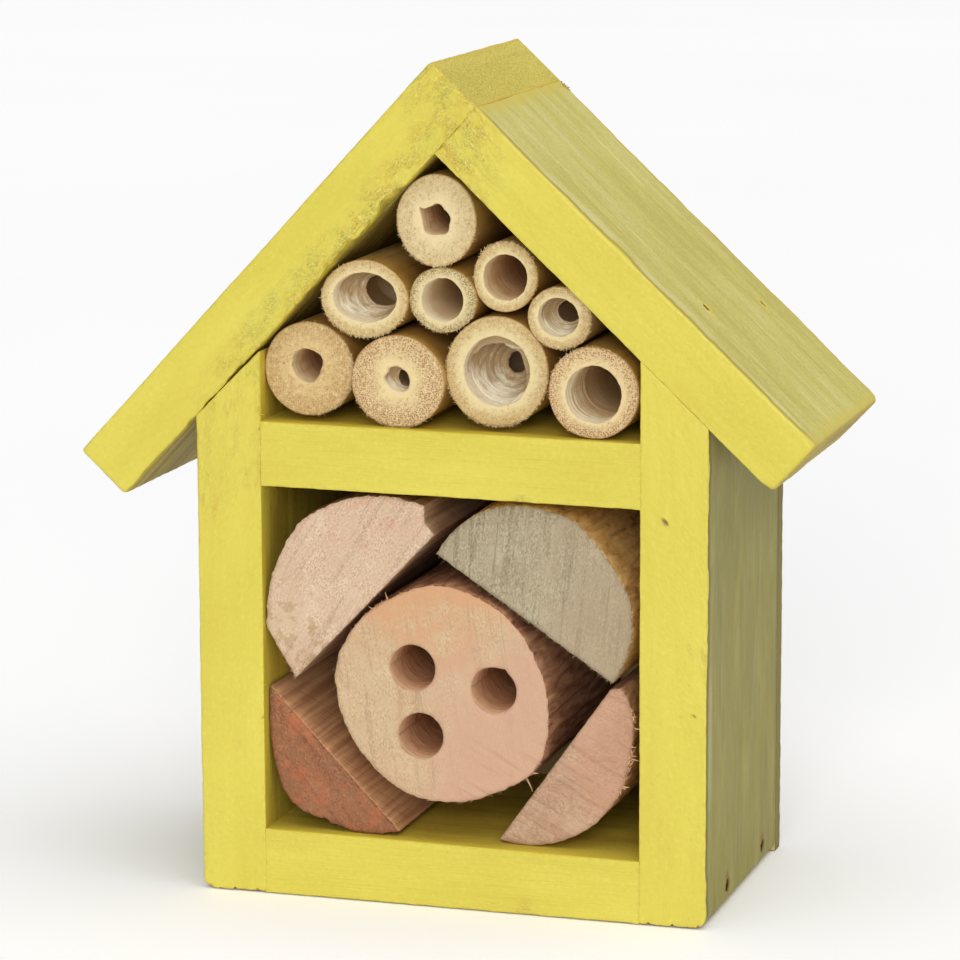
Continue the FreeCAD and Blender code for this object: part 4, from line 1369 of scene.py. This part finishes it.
# ---------------------------------------------------------------- canes
def cane_fuzz(piece, sizes, fuzz, fuzz_at, rng):
    """Saw fibres round a cane's end."""
    x, z, wide, high, face = sizes[:5]
    picks = rng.normal(sum(fuzz_at) / 2, (fuzz_at[1] - fuzz_at[0]) / 3, fuzz)
    roots, ways, lengths = [], [], []
    for angle in np.radians(picks):
        way = np.array((math.cos(angle), 0.0, math.sin(angle)))
        reach = rng.uniform(0.95, 1.005)
        roots.append(np.array((x + wide * reach * way[0], face + 0.12, z + high * reach * way[2])))
        ways.append(0.6 * way + rng.normal(size=3) * (0.7, 0.3, 0.7) + np.array((0, -0.25, 0)))
        lengths.append(0.18 + 0.5 * rng.random() ** 3)
    strands(piece, roots, ways, lengths, 0.10, 3, rng, 0.9)


def make_cane(name, sizes, seed, looks, mouth, fuzz, fuzz_at, ribbed):
    """One bamboo tube. mouth is the bore's outline about its middle; without it the bore is
    an even oval. fuzz counts the saw fibres and fuzz_at is where round the end they stand."""
    x, z, wide, high, face, bore_x, bore_z, bore_wide, bore_high, depth = sizes
    rng = np.random.default_rng(seed)
    count = 180
    turns = np.linspace(0, 2 * math.pi, count, endpoint=False)
    across, up = np.cos(turns), np.sin(turns)
    away = columns(across, up)
    around = columns(across, up, 0)
    skin_wave = fbm(around * 1.2, seed, 2) * 0.16
    tear = fbm(around * 14, seed + 1, 3, 0.7)
    torn_side = smooth(np.cos(turns - math.radians(sum(fuzz_at) / 2)),
                       math.cos(math.radians((fuzz_at[1] - fuzz_at[0]) / 2)) - 0.3, 0.9)
    outer = columns(x + (wide + skin_wave) * across, z + (high + skin_wave) * up)
    calm = columns(x + bore_x + bore_wide * across, z + bore_z + bore_high * up)
    middle = calm.mean(axis=0)
    wave = 1 + 0.03 * fbm(around * 4, seed + 2, 3)
    if mouth:
        knots = closed_curve(mouth, 0.1)
        angles = np.arctan2(knots[:, 1], knots[:, 0])
        order = np.argsort(angles)
        reach = np.interp(turns, angles[order], np.hypot(*knots.T)[order], period=2 * math.pi)
        inner = columns(x + bore_x + reach * wave * across, z + bore_z + reach * wave * up)
    else:
        inner = middle + (calm - middle) * wave[:, None]
    tilt = rng.uniform(-0.02, 0.02, 2)
    rows, flows, rings, slots = [], [], [], []

    def row(outline, y, ring, along, slot):
        rows.append(columns(outline[:, 0], y, outline[:, 1]))
        flows.append(columns(turns * wide, along, 0))
        rings.append(ring)
        slots.append(slot)

    def face_y(outline, extra=0.0):
        spot = columns(outline[:, 0], 0, outline[:, 1])
        lean = (outline[:, 0] - x) * tilt[0] + (outline[:, 1] - z) * tilt[1]
        return face + lean + 0.09 * fbm(spot * 1.1, seed + 3, 3, 0.6) + extra

    row(middle + (outer - middle) * 0.02, FILL_REAR, 0, 0, 0)
    for back in np.concatenate([np.arange(FILL_REAR, face + 3.0, -2.2),
                                (face + 2.0, face + 1.1, face + 0.6)]):
        swell = 0.10 * fbm(columns(across * 1.3, back * 0.06, up * 1.3), seed + 4, 2)
        row(outer + away * swell[:, None], back, 1, back - face, 0)
    ragged = away * (0.22 * tear * torn_side)[:, None]
    row(outer + ragged, face_y(outer, 0.22 + 0.1 * tear * torn_side), 1.0, 0, 0)
    edge = outer + ragged * 1.5 - away * 0.16
    row(edge, face_y(edge, 0.03), 0.97, 0, 1)
    steps = 16
    for k in range(1, steps):
        t = k / steps
        outline = edge * (1 - t) + inner * t
        row(outline, face_y(outline), 0.97 * (1 - t), 0, 1)
    row(inner, face_y(inner, 0.05), 0, 0, 1)
    for into in np.concatenate([(0.25, 0.6), np.arange(1.0, 14, 0.36), np.arange(14, depth, 1.6),
                                (depth,)]):
        rib = 0.10 * fbm(columns(across * 2, into * 0.5, up * 2), seed + 5, 3, 0.6)
        rib = rib + ribbed * math.sin(into * 4.2 + 2.0 * math.sin(into * 0.7))
        outline = inner + (calm - inner) * smooth(into, 2, 16)
        outline = outline + away * (rib * smooth(into, 0, 1))[:, None]
        row(outline, face + into, 0, into, 2)
    for t in (0.75, 0.45, 0.2, 0.02):
        outline = middle + (outline - middle) * t
        row(outline, face + depth + 0.6 * (1 - t), 0, depth, 2)
    last = (len(rows) - 1) * count
    piece = Piece("cane_" + name, looks)
    piece.tube(rows, flows, [*np.repeat(slots[1:], count), 0, 2],
               more=[range(count), range(last, last + count)], ring=np.repeat(rings, count))

    cane_fuzz(piece, sizes, fuzz, fuzz_at, rng)
    return piece, inner, middle


def membrane(piece, outline, middle, place, opening, seed, bowl, ribs):
    """Remains of a partition: a thin skin across the bore with an off-centre opening.
    opening is (x, z, half width, half height) about the bore's middle; the skin hangs bowl
    millimetres deeper at the opening than at the wall, with folds of ribs millimetres."""
    count = len(outline)
    turns = np.linspace(0, 2 * math.pi, count, endpoint=False)
    jag = 1 + 0.12 * fbm(columns(np.cos(turns), np.sin(turns), 0) * 2.5, seed, 4, 0.65)
    hole = columns(middle[0] + opening[0] + opening[2] * jag * np.cos(turns),
                   middle[1] + opening[1] + opening[3] * jag * np.sin(turns))
    reach = np.abs(outline - middle).max()
    rows, flows, steps = [], [], 16
    inward = [(k, 0.0) for k in range(steps + 1)]
    back_out = [(k, SKIN) for k in range(steps, -1, -1)]
    for k, thick in inward + back_out:
        t = k / steps
        ring = (middle + (outline - middle) * 1.02) * (1 - t) + hole * t
        spot = columns(ring[:, 0], 0, ring[:, 1])
        sag = bowl * (1 - (1 - t) ** 1.6) + 0.25 * t * fbm(spot * 0.5, seed + 1, 3)
        sag = sag + ribs * np.sin(t * bowl * 5.5 + 2 * fbm(spot * 0.4, seed + 2, 2))
        from_middle = ring - middle
        rows.append(columns(ring[:, 0], place + sag + thick, ring[:, 1]))
        # the flow's third number rises up and to the right; the skin's look paints light below and
        # shade above with it
        flows.append(columns(turns * reach + seed, t * (1.5 * bowl + 1),
                             (from_middle[:, 1] + 0.35 * from_middle[:, 0]) / reach))
    last = (len(rows) - 1) * count
    seam = [(last + k, last + (k + 1) % count, (k + 1) % count, k) for k in range(count)]
    piece.tube(rows, flows, 4, more=seam)


def make_canes():
    """The nine bamboo canes."""
    skin, paper = cane_skin(), papery()
    # light, tan and dot colours, how strong the dots are, how fine, and the smooth part's width
    ends = {kind: cane_end("cane_end_" + kind, *(rgb(*c) for c in colours), *more)
            for kind, colours, *more in (
                ("plain", [(222, 202, 150), (206, 178, 122), (160, 112, 74)], 0.35, 2.3, 0.5),
                ("pale", [(224, 204, 156), (216, 194, 144), (170, 128, 88)], 0.25, 2.3, 0.5),
                ("grained", [(218, 200, 150), (196, 176, 124), (118, 104, 66)], 0.8, 2.8, 0.5),
                ("spotted", [(224, 200, 148), (212, 184, 134), (168, 118, 84)], 0.95, 2.5, 0.35),
                ("brown", [(216, 186, 130), (206, 174, 118), (160, 114, 70)], 0.4, 2.3, 0.1))}
    # colours at the mouth, in the middle and deep in, and how strongly ridged; all are made
    # light as painted light from the front, and darker further in as painted shade
    bores = {kind: cane_bore("cane_bore_" + kind, *(rgb(*c) for c in colours), ridged)
             for kind, colours, ridged in (
                 ("smooth", [(242, 228, 196), (236, 212, 172), (226, 196, 152)], 0.10),
                 ("ribbed", [(242, 228, 196), (232, 206, 164), (220, 188, 142)], 0.4),
                 ("brown", [(236, 212, 170), (224, 184, 136), (212, 168, 120)], 0.4))}
    hairs = fibre("cane_fibres", rgb(232, 214, 168), rgb(200, 164, 108))
    # for each cane: its end and bore, the mouth if it isn't an even oval, how many fibres and
    # between which angles
    plan = {
        "bamboo_top": ("pale", "brown", [
            (-3.0, 2.1), (-2.5, 0.1), (-2.0, -2.2), (-0.4, -2.9), (2.2, -2.6), (2.8, -1.2),
            (3.0, 0.6), (1.9, 1.9), (1.2, 2.7), (0.1, 2.9), (-0.7, 2.4), (-2.0, 1.9)],
            360, (190, 345)),
        "bamboo_mid_1": ("plain", "smooth", (), 520, (190, 350)),
        "bamboo_mid_2": ("grained", "smooth", (), 240, (200, 345)),
        "bamboo_mid_3": ("plain", "brown", (), 440, (0, 130)),
        "bamboo_mid_4": ("plain", "smooth", (), 360, (-80, 60)),
        "bamboo_low_1": ("brown", "brown", [
            (-3.1, -0.2), (-2.7, 1.7), (-1.4, 2.9), (-0.1, 3.2), (1.4, 2.8), (2.7, 1.9), (3.1, 0.7),
            (2.7, -0.7), (2.2, -2.0), (1.0, -3.2), (-0.1, -3.3), (-1.4, -2.8), (-2.5, -1.7)],
            480, (-70, 50)),
        "bamboo_low_2": ("spotted", "smooth", [
            (-2.7, -0.15), (-2.55, 0.6), (-2.0, 1.25), (-1.8, 1.95), (-0.95, 2.35), (0.0, 2.4),
            (0.95, 2.0), (1.9, 1.25), (2.35, 0.15), (2.35, -0.95), (1.9, -1.9), (0.95, -2.35),
            (-0.3, -2.25), (-1.4, -1.7), (-2.2, -0.95)], 280, (215, 330)),
        "bamboo_low_3": ("plain", "ribbed", (), 680, (170, 320)),
        "bamboo_low_4": ("spotted", "ribbed", (), 200, (30, 170)),
    }
    # which cane, how far in, the opening, the bowl and the folds
    skins = [("bamboo_low_3", 1.9, (-0.5, -0.7, 5.7, 5.8), 0.5, 0.0),
             ("bamboo_low_3", 4.0, (1.1, 0.3, 1.8, 2.0), 6.0, 0.2),
             ("bamboo_mid_1", 3.2, (1.7, 0.7, 3.5, 3.1), 3.4, 0.1),
             ("bamboo_mid_4", 2.0, (0.8, 0.5, 2.2, 2.0), 3.0, 0.08),
             ("bamboo_low_2", 1.4, (0.8, 0.0, 1.5, 1.75), 1.5, 0.0)]
    for seed, (name, sizes) in enumerate(TUBES.items()):
        end, bore, mouth, fuzz, fuzz_at = plan[name]
        piece, inner, middle = make_cane(
            name, sizes, 300 + 10 * seed, [skin, ends[end], bores[bore], hairs, paper], mouth,
            fuzz=fuzz, fuzz_at=fuzz_at, ribbed=0.10 if bore == "ribbed" else 0.02)
        for skin_seed, (cane, into, opening, bowl, ribs) in enumerate(skins, 71):
            if cane == name:
                membrane(piece, inner, middle, sizes[4] + into, opening, skin_seed, bowl, ribs)
        piece.build(name, slot="bamboo_cane")


# ---------------------------------------------------------------- back and metal
def make_back():
    """The plywood panel, with the pocket behind the hanger."""
    lap = ROOF_THICKNESS / 2
    peak = roof_point(lap, lap)
    left_top = peak[1] - (peak[0] + BODY_HALF) * math.tan(LEFT_PITCH)
    right_top = peak[1] - (BODY_HALF - peak[0]) * math.tan(RIGHT_PITCH)
    corners = [(-BODY_HALF, 0), (BODY_HALF, 0), (BODY_HALF, right_top), tuple(peak),
               (-BODY_HALF, left_top)]
    outline = np.array(sum([run(a, b, 1.2) for a, b in zip(corners, corners[1:] + corners[:1])],
                           []))
    veneer = plywood("panel_veneer")
    edge = plywood("panel_edge", layered=True)
    steps = np.array((0.15, 0.4, 0.8, 1.3, 2.0, 2.7, 3.2, 3.6, 3.85))
    piece = cut_piece("plywood_back_panel", [veneer, edge, edge, edge, veneer], outline,
                      np.ones(len(outline), int), REAR + SUNK, PANEL_REAR - 0.08, 211,
                      holes=[circle(0, HANGER_Z, POCKET_RADIUS, 48)], spacing=1.4,
                      edge_rough=0.04, side_steps=steps, saw_marks=0.01)
    weld(piece.build("back_panel", slot="plywood"))


def dress_metal():
    """Procedural finishes for the CAD nodes that stay as they are."""
    steel = metal("nail_steel", rgb(150, 140, 128), rgb(96, 66, 44), 0.45)
    zinc = metal("hanger_zinc", rgb(196, 196, 198), rgb(150, 150, 150), 0.38)
    rusty = metal("sunk_nail_steel", rgb(52, 38, 28), rgb(34, 22, 14), 0.85)
    glue = glue_look()
    looks = {"hanger_plate": zinc, "hanger_nails": steel, "back_panel_nails": steel,
             "side_to_floor_nails": rusty, "side_to_shelf_nails": rusty,
             "roof_to_side_nails": rusty, "ridge_nails": rusty,
             "bamboo_glue_dabs": glue, "log_glue_dabs": glue}
    for name, look in looks.items():
        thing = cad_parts[name]
        thing.data.materials.clear()
        thing.data.materials.append(look)


# ---------------------------------------------------------------- studio
def make_studio():
    """The floor, the sky and two soft suns."""
    floor = bpy.data.meshes.new("studio_floor")
    half, level = FLOOR_HALF, FLOOR_LEVEL
    floor.from_pydata([(-half, -half, level), (half, -half, level), (half, half, level),
                       (-half, half, level)], [], [(0, 1, 2, 3)])
    floor.materials.append(floor_look())
    ground = bpy.data.objects.new("studio_floor", floor)
    bpy.context.scene.collection.objects.link(ground)

    world = bpy.data.worlds.new("studio")
    bpy.context.scene.world = world
    world.use_nodes = True
    sky = world.node_tree.nodes["Background"]
    sky.inputs["Color"].default_value = (1, 1, 1, 1)
    sky.inputs["Strength"].default_value = SKY_STRENGTH

    for name, toward, spread, power in SUNS:
        lamp = bpy.data.lights.new(name, "SUN")
        lamp.angle = math.radians(spread)
        lamp.energy = power
        thing = bpy.data.objects.new(name, lamp)
        bpy.context.scene.collection.objects.link(thing)
        thing.rotation_euler = Vector(toward).to_track_quat("Z", "Y").to_euler()


def make_camera():
    """The main view, from the right of the house and a little above it."""
    yaw, pitch, roll = CAMERA_YAW, CAMERA_PITCH, CAMERA_ROLL
    forward = Vector((-math.sin(yaw) * math.cos(pitch), math.cos(yaw) * math.cos(pitch),
                      -math.sin(pitch)))
    right = Vector((math.cos(yaw), math.sin(yaw), 0))
    up = right.cross(forward)
    turned_right = right * math.cos(roll) + up * math.sin(roll)
    turned_up = up * math.cos(roll) - right * math.sin(roll)
    lens = bpy.data.cameras.new("camera")
    lens.sensor_width = CAMERA_SENSOR
    lens.lens = CAMERA_LENS
    lens.clip_start, lens.clip_end = 0.01, 50
    camera = bpy.data.objects.new("camera", lens)
    bpy.context.scene.collection.objects.link(camera)
    turn = Matrix((turned_right, turned_up, -forward)).transposed().to_4x4()
    camera.matrix_world = Matrix.Translation(CAMERA_PLACE * MM) @ turn
    bpy.context.scene.camera = camera


make_boards()
make_logs()
make_canes()
make_back()
dress_metal()
make_studio()
make_camera()
bpy.context.scene.view_settings.view_transform = "Standard"
